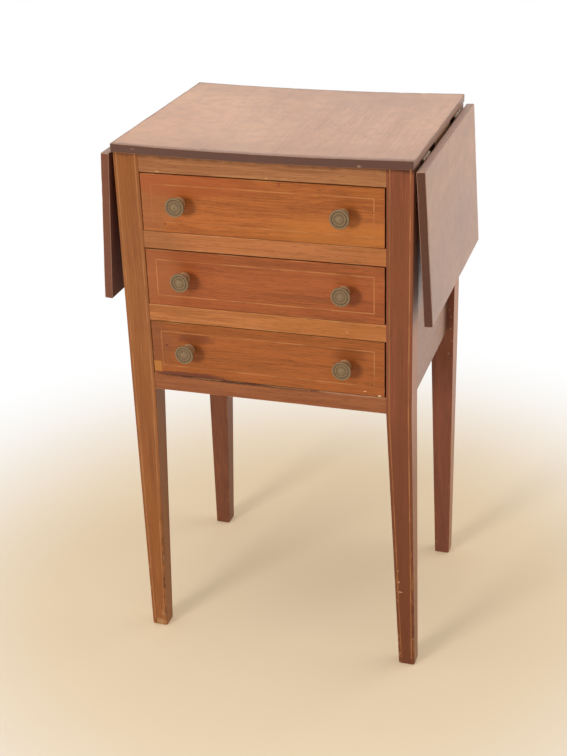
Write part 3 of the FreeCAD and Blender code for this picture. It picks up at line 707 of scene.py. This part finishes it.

# %% [markdown]
# ## Drawer fronts
# The drawer fronts are the warmest wood of the stand, with a livelier figure, so their grain sways more and
# their pores show. Each has stains, knots and pale knocks that one would know it by. On the lower front, the
# patches beside the knobs are painted shade, and its top edge, pale unpolished wood, is painted paler still
# as painted light in the shaded gap above it. A noise could scatter such marks, but never where the real ones
# are, so each of them is a patch with its own place.

# %% Drawer fronts
FRONT_TONES = {
    "upper": ("B86A34", "9B5628", "AB6426"),
    "middle": ("AA5D31", "904E28", "9A4D24"),
    "lower": ("AA5F2D", "8E4F23", "9A5523"),
}
FRONT_MARKS = {
    "upper": [
        (patch(-0.158, 0.662, 0.055, 0.06, 0.5), "97613D"),
        (patch(-0.11, 0.690, 0.13, 0.026, 0.6), "A4522B"),
        (patch(0.10, 0.635, 0.11, 0.03, 0.5), "BC7434"),
        (patch(0.0253, 0.6955, 1.6 * MM, 4 * MM, 0.7), "7E3A1E"),
        (patch(0.1444, 0.667, 1.4 * MM, 1.4 * MM), "6E2E1A"),
        (patch(-0.1302, 0.6327, 2.2 * MM, 1.6 * MM, 0.8), "7A3A1E")],
    "middle": [
        (patch(-0.16, 0.56, 0.06, 0.05, 0.5), "A4653C"),
        (patch(0.1118, 0.5625, 1.0 * MM, 3.6 * MM), "EBC09C")],
    "lower": [
        (patch(-0.165, 0.465, 0.06, 0.05, 0.6), "7E4B30"),
        # painted shade up and to the right of the right knob
        (patch(0.113, 0.473, 0.028, 15 * MM, 0.45), "7A3E1C"),
        # painted shade beside the left knob
        (patch(-0.1, 0.4745, 0.034, 11 * MM, 0.6), "6E3826"),
        (patch(-0.11, 0.4195, 0.07, 6 * MM, 0.8), "603226"),
        (patch(-0.1397, 0.4614, 1.6 * MM, 1.6 * MM), "541F14"),
        (let_in(-0.162, -0.1492, 0.4215, 0.4372, 0.85), "B57638"),
        # the top edge is pale unpolished wood, painted paler still as painted light in the shaded gap above
        # it
        (facing(Z, 1), "C48448"),
        (patch(0.133, 0.4235, 2.0 * MM, 1.2 * MM), "E2B48C"),
        (patch(0.1523, 0.4192, 3.0 * MM, 1.4 * MM), "EBC6A2")],
}
for number, (name, tones) in enumerate(FRONT_TONES.items()):
    node = name + "_drawer_front"
    dress(node, wood(node + "_wood", X, seed=101 + SEED_STEP * number, tones=tones, end="5E3018",
                     edge=board_edge(node), wear=0.3, reach=1.6 * MM, spread=(0.425, 0.575), pore=0.5,
                     gloss=0.34, sway=0.02, marks=FRONT_MARKS[name]))
print(len(FRONT_TONES), "drawer fronts dressed")

# %% [markdown]
# ## Inside woods and stringing
# Drawer sides, backs, bottoms, runners and kickers are a plain pale wood that was never polished. Every one
# could have a finish of its own, but they were cut from a few boards, so three finishes serve them all. The
# stringing is a thin pale line let into the drawer fronts and the front legs. Old varnish has yellowed it,
# and here and there it has nearly gone into the colour of its board. It is a solid of its own, so it needs no
# mask: two tones, a noise that goes from one to the other, and zones along x where other tones take over.

# %% Inside woods
BOX_PIECES = {"left_side": Y, "right_side": Y, "back": X, "bottom": X}


def raw_wood(name, axis, seed, pale="BE9468", deep="9C7248"):
    """Unpolished wood, dull and dusty."""
    return wood(name, axis, seed, tones=(pale, deep, "AA8056"), end="7A5636", gloss=0.62, shine=0.25)


box_wood = {Y: raw_wood("drawer_side_wood", Y, seed=131), X: raw_wood("drawer_back_wood", X, seed=137)}
carcass = raw_wood("carcass_wood", Y, seed=143, pale="A87C54", deep="86603E")
for name in FRONT_TONES:
    for piece, axis in BOX_PIECES.items():
        dress(f"{name}_drawer_{piece}", box_wood[axis])
for side in ("right", "left"):
    for piece in ("kicker", "upper_runner", "middle_runner", "lower_runner"):
        dress(f"{side}_{piece}", carcass)
dress("drawer_stops", carcass)
print(len(FRONT_TONES), "drawer boxes dressed, with the runners, kickers and stops")

# %% Stringing
STRING_ZONES = {
    "upper_drawer": [(-1.0, "AA6438", "A46032"), (-0.13, "B4723F", "AB6530"), (-0.03, "B87644", "AE6630")],
    "middle_drawer": [(-1.0, "B67544", "A15C34")],
    "lower_drawer": [(-1.0, "B27442", "9C5C2C")],
    "leg": [(-1.0, "A87246", "98623A"), (0.0, "9E653C", "88522E"), (0.184, "AA7044", "925A34")],
}
STRING_FADE, STRING_FLECKS = 28.0, 900.0
STRING_RELIEF = 0.05 * MM


def string_line(name, seed, zones):
    """Thin pale inlay, yellowed and in places nearly gone. A zone is the x from which its two tones hold."""
    material, place = new_finish(name)
    fade = place.noise(STRING_FADE + seed, 3.0).step(0.4, 0.62)
    fleck = place.noise(STRING_FLECKS)
    tints = [fade.mix(colour(pale), colour(deep)) for _, pale, deep in zones]
    tint = tints[0]
    for (from_x, _, _), next_tint in zip(zones[1:], tints[1:]):
        tint = place.parts()[X].step(from_x, from_x + MM).mix(tint, next_tint)
    close_finish(place, {"Base Color": tint, "Roughness": 0.36 + fleck * 0.2}, {"Specular IOR Level": 0.3},
                 height=fleck, relief=STRING_RELIEF)
    return material


for seed, (name, zones) in enumerate(STRING_ZONES.items()):
    dress(name + "_stringing", string_line(name + "_stringing", seed, zones))
print(len(STRING_ZONES), "sets of stringing dressed")

# %% [markdown]
# ## Top and leaves
# The top and the leaves are thin boards whose edges have been rounded by a century of use. A Bevel modifier
# could round them, but evenly, as a machine does. An eased board is a box whose points are pulled onto a
# smaller inner box and pushed out again by a radius. The radius changes slowly along the edges, and small
# dents press the arrises in. How far a point has left the flat faces is kept as an attribute, because that
# is where the polish has gone.

# %% Box of grids
EDGE_STEPS = np.array([0.0, 0.12, 0.28, 0.48, 0.72, 1.0])
EDGE_REACH = 1.4


def crowded(low, high, ease, count):
    """Places from low to high, close together within the ease of either end."""
    ends = EDGE_STEPS * ease * EDGE_REACH
    inner = np.linspace(low + ends[-1], high - ends[-1], count)[1:-1]
    return np.concatenate([low + ends, inner, high - ends[::-1]])


def box_grids(low, high, ease, counts):
    """Points and quads of the six faces of a box, each a grid that is close along its borders."""
    lines = [crowded(low[axis], high[axis], ease, counts[axis]) for axis in range(3)]
    points, quads, start = [], [], 0
    for axis in range(3):
        first, second = (axis + 1) % 3, (axis + 2) % 3
        a, b = np.meshgrid(lines[first], lines[second], indexing="ij")
        for level in (low[axis], high[axis]):
            face = np.empty(a.shape + (3,))
            face[..., axis], face[..., first], face[..., second] = level, a, b
            points.append(face.reshape(-1, 3))
            quads.append(grid_quads(*a.shape) + start)
            start += a.size
    return np.concatenate(points), np.concatenate(quads)


print("places along a 10 mm edge:", np.round(crowded(0.0, 10.0, ease=2.0, count=4), 1).tolist())

# %% Eased board
SLOW_WAVES, QUICK_WAVES = (41.0, 57.0, 33.0), (97.0, 83.0, 71.0)
EASE_CHANGE = 0.1
DENT_WIDE, DENT_DEEP = (1.5, 4.0), (0.15, 0.4)
DENT_WEAR = 500


def rounded(points, low, high, ease, seed):
    """Inner point plus radius times the direction away from it. Also gives that direction, and a wear that
    is 0 where it looks straight out of a face and 1 where it leans to two faces alike."""
    waves = np.sin(points @ SLOW_WAVES + seed) + np.sin(points @ QUICK_WAVES + 2 * seed)
    radius = (ease * (1.0 + EASE_CHANGE * waves))[:, None]
    inner = np.clip(points, low + radius, high - radius)
    away = points - inner
    outward = away / np.linalg.norm(away, axis=1, keepdims=True)
    worn = np.clip((1 - np.abs(outward).max(1)) / (1 - math.sqrt(0.5)), 0, 1)
    return inner + radius * outward, outward, worn


def eased_board(low, high, ease, counts, seed, dents):
    """Rounded box with dents: round a spot on an arris, points move in by a bell of their distance to it."""
    low, high = np.asarray(low), np.asarray(high)
    points, quads = box_grids(low, high, ease, counts)
    points, outward, worn = rounded(points, low, high, ease, seed)
    draw = np.random.default_rng(seed)
    for number in range(dents):
        share = draw.random(3)
        side, end = draw.integers(0, 2, 2)
        centre = low + (high - low) * share
        centre[number % 2] = (low, high)[side][number % 2]
        centre[Z] = (low, high)[end][Z]
        wide = draw.uniform(*DENT_WIDE) * MM
        bell = np.exp(-((points - centre) ** 2).sum(1) / (2 * wide ** 2))
        press = bell * draw.uniform(*DENT_DEEP) * MM
        points = points - outward * press[:, None]
        worn = np.clip(worn + press * DENT_WEAR, 0, 1)
    return points, quads, worn


print("dents are up to", DENT_DEEP[1], "mm deep")

# %% Top board
TOP_LOW, TOP_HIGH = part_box("table_top")
TOP_EASE = 1.6 * MM
TOP_SAG = 3.2 * MM

points, quads, worn = eased_board(TOP_LOW, TOP_HIGH, TOP_EASE, counts=(120, 100, 4), seed=3, dents=26)
points[:, Z] -= TOP_SAG * (1 - (points[:, X] / TOP_HIGH.x) ** 2)
top = mesh_piece("top_board", points, quads, worn=worn)
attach(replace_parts(top, "table_top"), "stand")
print("top of", len(top.data.polygons), "faces")

# %% Finish of the top
TOP_TONES = ("D9AB8F", "C29276", "D09D7F")
TOP_MARKS = [
    (beside_edge(X, TOP_LOW.x, -0.18, 0.6, 8.0), "E6B08A"),
    (cloudy(4.5, 0.46, 0.66, 0.38, 1.3), "B28C7E"),
    (cloudy(7.0, 0.5, 0.68, 0.45, 4.1), "E0B08C"),
    (cloudy(55.0, 0.42, 0.66, 0.35, 7.7), "B98F7A"),
    (swirls(8.0, 0.02, 0.14), "A97E66"),
    (beside_edge(Y, TOP_LOW.y, -80 * MM, 0.3, 12.0), "B0876F"),
    (beside_edge(Y, TOP_HIGH.y, 80 * MM, 0.25, 12.0), "B0876F"),
    (beside_edge(Y, TOP_LOW.y, -10 * MM, 0.8), "8A6652"),
    (facing(Z, -1), "7A4E3C"),
    (beside_edge(X, TOP_LOW.x, -5 * MM, 0.7), "7E5C4C"),
    (beside_edge(Y, TOP_HIGH.y, 7 * MM, 0.7), "7E5C4C"),
    # the side edges are painted darker, as painted shade
    (facing(X, 1, 0.7), "8C6654"),
    (facing(X, -1, 0.7), "8C6654"),
]
TOP_CHIPS = [
    (patch(0.1286, 0.7262, 3.5 * MM, 1.6 * MM, 0.6), "B8947C"),
    (patch(-0.1654, 0.7312, 4 * MM, 1.5 * MM, 0.35), "A07C68"),
]
top.data.materials.append(wood("top_wood", Y, seed=151, tones=TOP_TONES, end="5A3B31", edge=rubbed_edge,
                               bare="B08468", wear=0.5, reach=1.8 * MM, spread=(0.37, 0.63), gloss=0.38,
                               shine=0.35, marks=TOP_MARKS, chips=TOP_CHIPS))
print(len(TOP_MARKS) + len(TOP_CHIPS), "marks and chips on the top")

# %% Hanging a leaf
UNDERSIDE = TOP_LOW.z
PIN_OUT, PIN_DOWN = 0.3 * MM, 2.0 * MM
PIN = Vector((TOP_HIGH.x + PIN_OUT, 0.0, UNDERSIDE - PIN_DOWN))
LEAF_SWING = math.radians(86.5)


def hang(points, sign):
    """Points of the raised right leaf, turned down about the hinge pin: x cos + z sin, z cos - x sin. A sign
    of -1 mirrors them to the left."""
    x, z = points[:, X] - PIN.x, points[:, Z] - PIN.z
    hung_x = PIN.x + x * math.cos(LEAF_SWING) + z * math.sin(LEAF_SWING)
    hung_z = PIN.z - x * math.sin(LEAF_SWING) + z * math.cos(LEAF_SWING)
    return np.stack([sign * hung_x, points[:, Y], hung_z], 1)


print("the pin lies at", [round(v, 4) for v in PIN])

# %% Leaves
LEAF_GAP, LEAF_WIDTH = 0.6 * MM, 200 * MM
LEAF_EASE = 1.8 * MM
LEAF_TONES = ("CFA48A", "B98F76", "C49A84")
LEAF_ENDS = {"right": "4C2511", "left": "6D3D28"}
LEAF_WEAR = {"right": 0.5, "left": 0.15}
LEAF_MARKS = [
    (cloudy(6.0, 0.48, 0.68, 0.5, 2.2), "AB8A80"),
    (cloudy(9.0, 0.5, 0.7, 0.4, 5.2), "D0A488"),
    (cloudy(60.0, 0.42, 0.66, 0.3, 3.4), "A98676"),
    (swirls(9.0, 0.015, 0.15), "9C7868"),
    (beside_edge(Z, 0.525, -0.16, 0.3, 12.0), "A4887C"),
]

leaf_low = (TOP_HIGH.x + LEAF_GAP, TOP_LOW.y, TOP_LOW.z)
leaf_high = (TOP_HIGH.x + LEAF_GAP + LEAF_WIDTH, TOP_HIGH.y, TOP_HIGH.z)
for number, (side, sign) in enumerate((("right", 1), ("left", -1))):
    points, quads, worn = eased_board(leaf_low, leaf_high, LEAF_EASE, counts=(80, 100, 4), seed=5 + number,
                                      dents=18)
    leaf = mesh_piece(side + "_leaf_board", hang(points, sign), quads, worn=worn)
    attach(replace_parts(leaf, side + "_leaf"), side + "_leaf")
    # the inner face is unpolished wood, darkened further as painted shade between leaf and case; the upper
    # edge is painted darker as painted shade
    faces = [(facing(X, -sign), "683E32"), (facing(Z, 1, 0.7), "8E6C5C")]
    leaf.data.materials.append(wood(side + "_leaf_wood", Y, seed=161 + SEED_STEP * number, tones=LEAF_TONES,
                                    end=LEAF_ENDS[side], edge=rubbed_edge, bare="A57C60",
                                    wear=LEAF_WEAR[side], reach=1.8 * MM, gloss=0.42, shine=0.4, pore=0.1,
                                    marks=LEAF_MARKS + faces))
    print(leaf.name, "of", len(leaf.data.polygons), "faces")

# %% [markdown]
# ## Knobs
# The knobs are turned brass that has gone an olive brown. A turning is a profile carried round an axis. The
# Screw modifier does that, but it leaves every ring plain, and these faces are chased. So every ring of
# points takes the radius and the height of one point of the profile, and a small wave is added to the
# height: eight petals on the boss and a ring of beads between the boss and the rim.

# %% Turned knob
# radius and distance from the drawer's face, in millimetres, from the stud's end to the middle of the boss
STUD_PROFILE = np.array([(0.0, -22.2), (2.0, -22.2), (2.0, -0.2), (7.8, -0.2)]) * MM
KNOB_PROFILE = np.array([
    (8.0, 0.9), (7.9, 1.8), (7.6, 2.5), (7.5, 3.6), (7.6, 5.0), (8.2, 7.0), (9.2, 9.8), (10.4, 12.8),
    (11.6, 15.4), (12.4, 16.8), (12.8, 17.6), (12.9, 18.2), (12.9, 19.2), (12.6, 19.9), (11.8, 20.2),
    (10.8, 20.1), (10.2, 19.8), (9.8, 19.3), (9.4, 19.3), (9.0, 19.7), (8.4, 20.2), (7.7, 20.3), (7.1, 20.0),
    (6.7, 19.6), (6.0, 19.6), (4.6, 19.9), (3.2, 20.3), (2.2, 20.5), (1.6, 21.0), (0.8, 21.4), (0.0, 21.5),
]) * MM
KNOB_RINGS, KNOB_SPOKES = 90, 96
# number of waves, radius of the middle of their ring, half the ring's width, and their height
PETALS = (8, 4.2 * MM, 2.4 * MM, 0.2 * MM)
BEADS = (24, 8.2 * MM, 0.9 * MM, 0.25 * MM)
FACE_OUT = 18.5 * MM
HOLLOW, RELIEF = 0.75 * MM, 0.9 * MM
# marks the neck, whose paler colour is painted light
LIT_NECK_MARK = 2.0


def smooth_profile(corners, count):
    """The profile resampled at even steps of its length, so that its turns are round and its flats stay."""
    length = np.concatenate([[0.0], np.cumsum(np.linalg.norm(np.diff(corners, axis=0), axis=1))])
    steps = np.linspace(0, length[-1], count)
    return np.stack([np.interp(steps, length, corners[:, column]) for column in range(2)], 1)


def chasing(r, a, count, middle, half, height):
    """Height times cos(count times a), which dies away from the middle of the ring to its borders."""
    return np.clip(1 - np.abs(r - middle) / half, 0, 1) * height * np.cos(count * a)


def turned_knob(x, face, z):
    """Ring of radius r at angle a lies at (x + r cos a, face - out, z + r sin a), with chasing added to out.
    Also gives 0 in the face's hollows, 1 on its high places, and the neck's mark elsewhere, for the neck's
    painted light."""
    profile = np.concatenate([STUD_PROFILE, smooth_profile(KNOB_PROFILE, KNOB_RINGS)])
    r, a = np.meshgrid(profile[:, 0], spoke_angles(KNOB_SPOKES), indexing="ij")
    out = np.repeat(profile[:, 1:], KNOB_SPOKES, axis=1)
    front = out > FACE_OUT
    out = out + np.where(front, chasing(r, a, *PETALS) + chasing(r, a, *BEADS), 0.0)
    points = np.stack([x + r * np.cos(a), face - out, z + r * np.sin(a)], -1).reshape(-1, 3)
    high = np.where(front, np.clip((out - FACE_OUT - HOLLOW) / RELIEF, 0, 1), LIT_NECK_MARK)
    return points, grid_quads(len(profile), KNOB_SPOKES, wrap=True), high.ravel()


print("knobs are", round(2000 * KNOB_PROFILE[:, 0].max(), 1), "mm wide")

# %% Aged brass
BRASS_CLOUDS, BRASS_GRIT = 160.0, 1400.0
BRASS_RELIEF = 0.06 * MM


def aged_brass(name, bright, dull, dark, polish, neck=None):
    """Brass under brown patina: dark in the hollows, rubbed bright where a hand takes hold. Where the polish
    goes past 1 it is a knob's neck, which is painted paler as painted light, since the face shades it."""
    material, place = new_finish(name)
    cloud, grit = place.noise(BRASS_CLOUDS, 4.0), place.noise(BRASS_GRIT, 3.0)
    polished = polish(place)
    rubbed = polished.least(1.0)
    tint = cloud.step(0.35, 0.65).mix(colour(dark), colour(dull))
    tint = (rubbed * grit.step(0.25, 0.6)).mix(tint, colour(bright))
    if neck:
        tint = polished.step(1.2, 1.8).mix(tint, colour(neck))
    close_finish(place, {"Base Color": tint, "Roughness": 0.55 - rubbed * 0.1 + cloud * 0.1},
                 {"Metallic": 0.4, "Specular IOR Level": 0.35}, height=grit, relief=BRASS_RELIEF)
    return material


def high_places(place):
    """The attribute that tells the top of a relief from its hollows."""
    return place.attribute("high")


# the high rings are rubbed bright and brightened further as painted highlight; the neck colour is painted
# light
knob_brass = aged_brass("knob_brass", bright="967C5C", dull="735D42", dark="634F38", polish=high_places,
                        neck="C4A67C")
print("knob brass of", len(knob_brass.node_tree.nodes), "nodes")

# %% Knobs on the drawers
KNOB_X = 107.5 * MM
NUT_HALF, NUT_THICK, NUT_EASE = 4.5 * MM, 3 * MM, 0.5 * MM

for name in FRONT_TONES:
    low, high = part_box(name + "_drawer_front")
    knob_low, knob_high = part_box(name + "_drawer_knobs")
    middle = (knob_low + knob_high) / 2
    z = middle.z
    points, quads, heights, start = [], [], [], 0
    for x in (middle.x - KNOB_X, middle.x + KNOB_X):
        nut = eased_board((x - NUT_HALF, high.y, z - NUT_HALF),
                          (x + NUT_HALF, high.y + NUT_THICK, z + NUT_HALF),
                          NUT_EASE, counts=(4, 3, 4), seed=9, dents=0)
        for some_points, some_quads, some_heights in (turned_knob(x, low.y, z), nut):
            points.append(some_points)
            quads.append(some_quads + start)
            heights.append(some_heights)
            start += len(some_points)
    points, quads, heights = (np.concatenate(arrays) for arrays in (points, quads, heights))
    knobs = mesh_piece(name + "_knobs", points, quads, high=heights)
    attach(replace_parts(knobs, name + "_drawer_knobs"), name + "_drawer")
    knobs.data.materials.append(knob_brass)
    print(knobs.name, "of", len(knobs.data.polygons), "faces")

# %% [markdown]
# ## Hinges, stays and screws
# The butt hinges are dull brass and the folding stays are darkened steel, and slotted screws hold them. A
# slot could be cut out of a dome by a Boolean modifier, but its ragged faces shade badly. So a screw head is
# a square grid squeezed into a disc, domed, with a slot pressed in.

# %% Metals
STEEL_BLOOM, STEEL_GRIT = 70.0, 900.0
STEEL_RELIEF = 0.05 * MM
SPOT_SCALE, SPOT_RANGE = 240.0, (0.5, 0.7)


def dark_steel(name):
    """Steel with a brown bloom of old rust."""
    material, place = new_finish(name)
    bloom, grit = place.noise(STEEL_BLOOM, 5.0), place.noise(STEEL_GRIT, 3.0)
    tint = bloom.step(0.48, 0.66).mix(colour("6E6A66"), colour("5A4434"))
    close_finish(place, {"Base Color": tint, "Roughness": 0.42 + bloom * 0.2},
                 {"Metallic": 0.8, "Specular IOR Level": 0.5}, height=grit, relief=STEEL_RELIEF)
    return material


def bright_spots(place):
    """Loose spots that have stayed bright."""
    return place.noise(SPOT_SCALE).step(*SPOT_RANGE)


steel = dark_steel("stay_steel")
hinge_brass = aged_brass("hinge_brass", bright="B49C82", dull="94806A", dark="6C5844", polish=bright_spots)
worn_brass = aged_brass("worn_brass", bright="C0A888", dull="A58A6C", dark="84694E", polish=bright_spots)
for side in ("right", "left"):
    for piece in ("hinge_top_plates", "hinge_pins"):
        dress(f"{side}_{piece}", hinge_brass)
    dress(f"{side}_hinge_leaf_plates", worn_brass)
    for piece in ("stay_wall_plate", "stay_leaf_plate", "stay_long_arm", "stay_short_arm"):
        dress(f"{side}_{piece}", steel)
dress("top_screws", steel)
print("hinges and stays dressed")

# %% Slotted screws
SCREW_GRID = 17
SCREW_RISE = 0.6 * MM
SLOT_DEPTH = 0.45 * MM
SLOT_EDGE, SLOT_STEEP = 2.2, 12
RIM_STEEP = 4
UNDER_RISE, UNDER_DEPTH = 0.5, 0.15 * MM
FIRST_TURN, NEXT_TURN = 0.4, 0.9
UPSIDE_DOWN = np.array((1, -1, -1))


def screw_head(radius, rise, turn):
    """Square grid squeezed into a disc. Its height is rise times (1 - r squared), less a slot where the
    turned first coordinate is small. A flatter copy that shares its rim closes it below."""
    line = np.linspace(-1, 1, SCREW_GRID)
    u, v = np.meshgrid(line, line, indexing="ij")
    a, b = u * np.sqrt(1 - v ** 2 / 2), v * np.sqrt(1 - u ** 2 / 2)
    dome = 1 - np.clip(a ** 2 + b ** 2, 0, 1)
    inside = np.clip(dome * RIM_STEEP, 0, 1)
    slot = np.clip(SLOT_EDGE - np.abs(a * math.cos(turn) + b * math.sin(turn)) * SLOT_STEEP, 0, 1)
    above = rise * dome - SLOT_DEPTH * slot * inside
    below = -UNDER_RISE * rise * dome - UNDER_DEPTH * inside
    discs = [np.stack([radius * a, radius * b, height], -1).reshape(-1, 3) for height in (above, below)]
    quads = grid_quads(SCREW_GRID, SCREW_GRID)
    return np.concatenate(discs), np.concatenate([quads, quads + SCREW_GRID ** 2])


def many_screws(spots, radius):
    """One set of arrays for screws that look down at several spots, each turned its own way."""
    heads = [screw_head(radius, SCREW_RISE, NEXT_TURN * number + FIRST_TURN) for number in range(len(spots))]
    points = np.concatenate([UPSIDE_DOWN * head + spot for (head, _), spot in zip(heads, spots)])
    quads = np.concatenate([faces + number * len(head) for number, (head, faces) in enumerate(heads)])
    return points, quads


def screws(name, points, quads, body, material):
    """A piece out of screw heads, riding on a body."""
    piece = mesh_piece(name, points, quads)
    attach(piece, body)
    piece.data.materials.append(material)
    print(name, "of", len(piece.data.polygons), "faces on", body)


print("a screw head has", 2 * len(grid_quads(SCREW_GRID, SCREW_GRID)), "faces")

# %% Screws in the hinges and stays
HINGE_MIDDLES = (-89.5 * MM, 113.5 * MM)
HINGE_PLATE, STAY_PLATE = 1.2 * MM, 2.0 * MM
HINGE_SCREW, STAY_SCREW = 2.4 * MM, 3.0 * MM
HINGE_ROW = 6.7 * MM
HINGE_STEPS, STAY_STEPS = (-12 * MM, 0.0, 12 * MM), (-9 * MM, 9 * MM)
STAY_REACH, STAY_DROP = 105 * MM, 55 * MM
ON_LEAF_Y, ON_PANEL_Y = -4 * MM, 24 * MM
PANEL_FACE = 185 * MM

hinge_yz = [(y + step, UNDERSIDE - HINGE_PLATE) for y in HINGE_MIDDLES for step in HINGE_STEPS]
for side, sign in (("right", 1), ("left", -1)):
    points, quads = many_screws([(PIN.x - HINGE_ROW, y, z) for y, z in hinge_yz], HINGE_SCREW)
    screws(side + "_hinge_top_screws", points * (sign, 1, 1), quads, "stand", hinge_brass)
    points, quads = many_screws([(PIN.x + HINGE_ROW, y, z) for y, z in hinge_yz], HINGE_SCREW)
    screws(side + "_hinge_leaf_screws", hang(points, sign), quads, side + "_leaf", hinge_brass)

    on_leaf = [(PIN.x + STAY_REACH + step, ON_LEAF_Y, UNDERSIDE - STAY_PLATE) for step in STAY_STEPS]
    points, quads = many_screws(on_leaf, STAY_SCREW)
    screws(side + "_stay_leaf_screws", hang(points, sign), quads, side + "_leaf", steel)
    points, quads = many_screws([(step, ON_PANEL_Y, 0.0) for step in STAY_STEPS], STAY_SCREW)
    upward, along, out = points.T
    points = np.stack([PANEL_FACE + STAY_PLATE - out, along, PIN.z - STAY_DROP + upward], 1)
    screws(side + "_stay_wall_screws", points * (sign, 1, 1), quads, "stand", steel)

# %% [markdown]
# ## Size and finish
# The dressed stand has to be as large as its solids, because drawers and leaves move with little room. A
# millimetre too much could hardly be seen in a picture, so the box of what is there now is printed.

# %% Size and finish
low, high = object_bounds()
print("dressed box", [round(v, 4) for v in low], "to", [round(v, 4) for v in high])
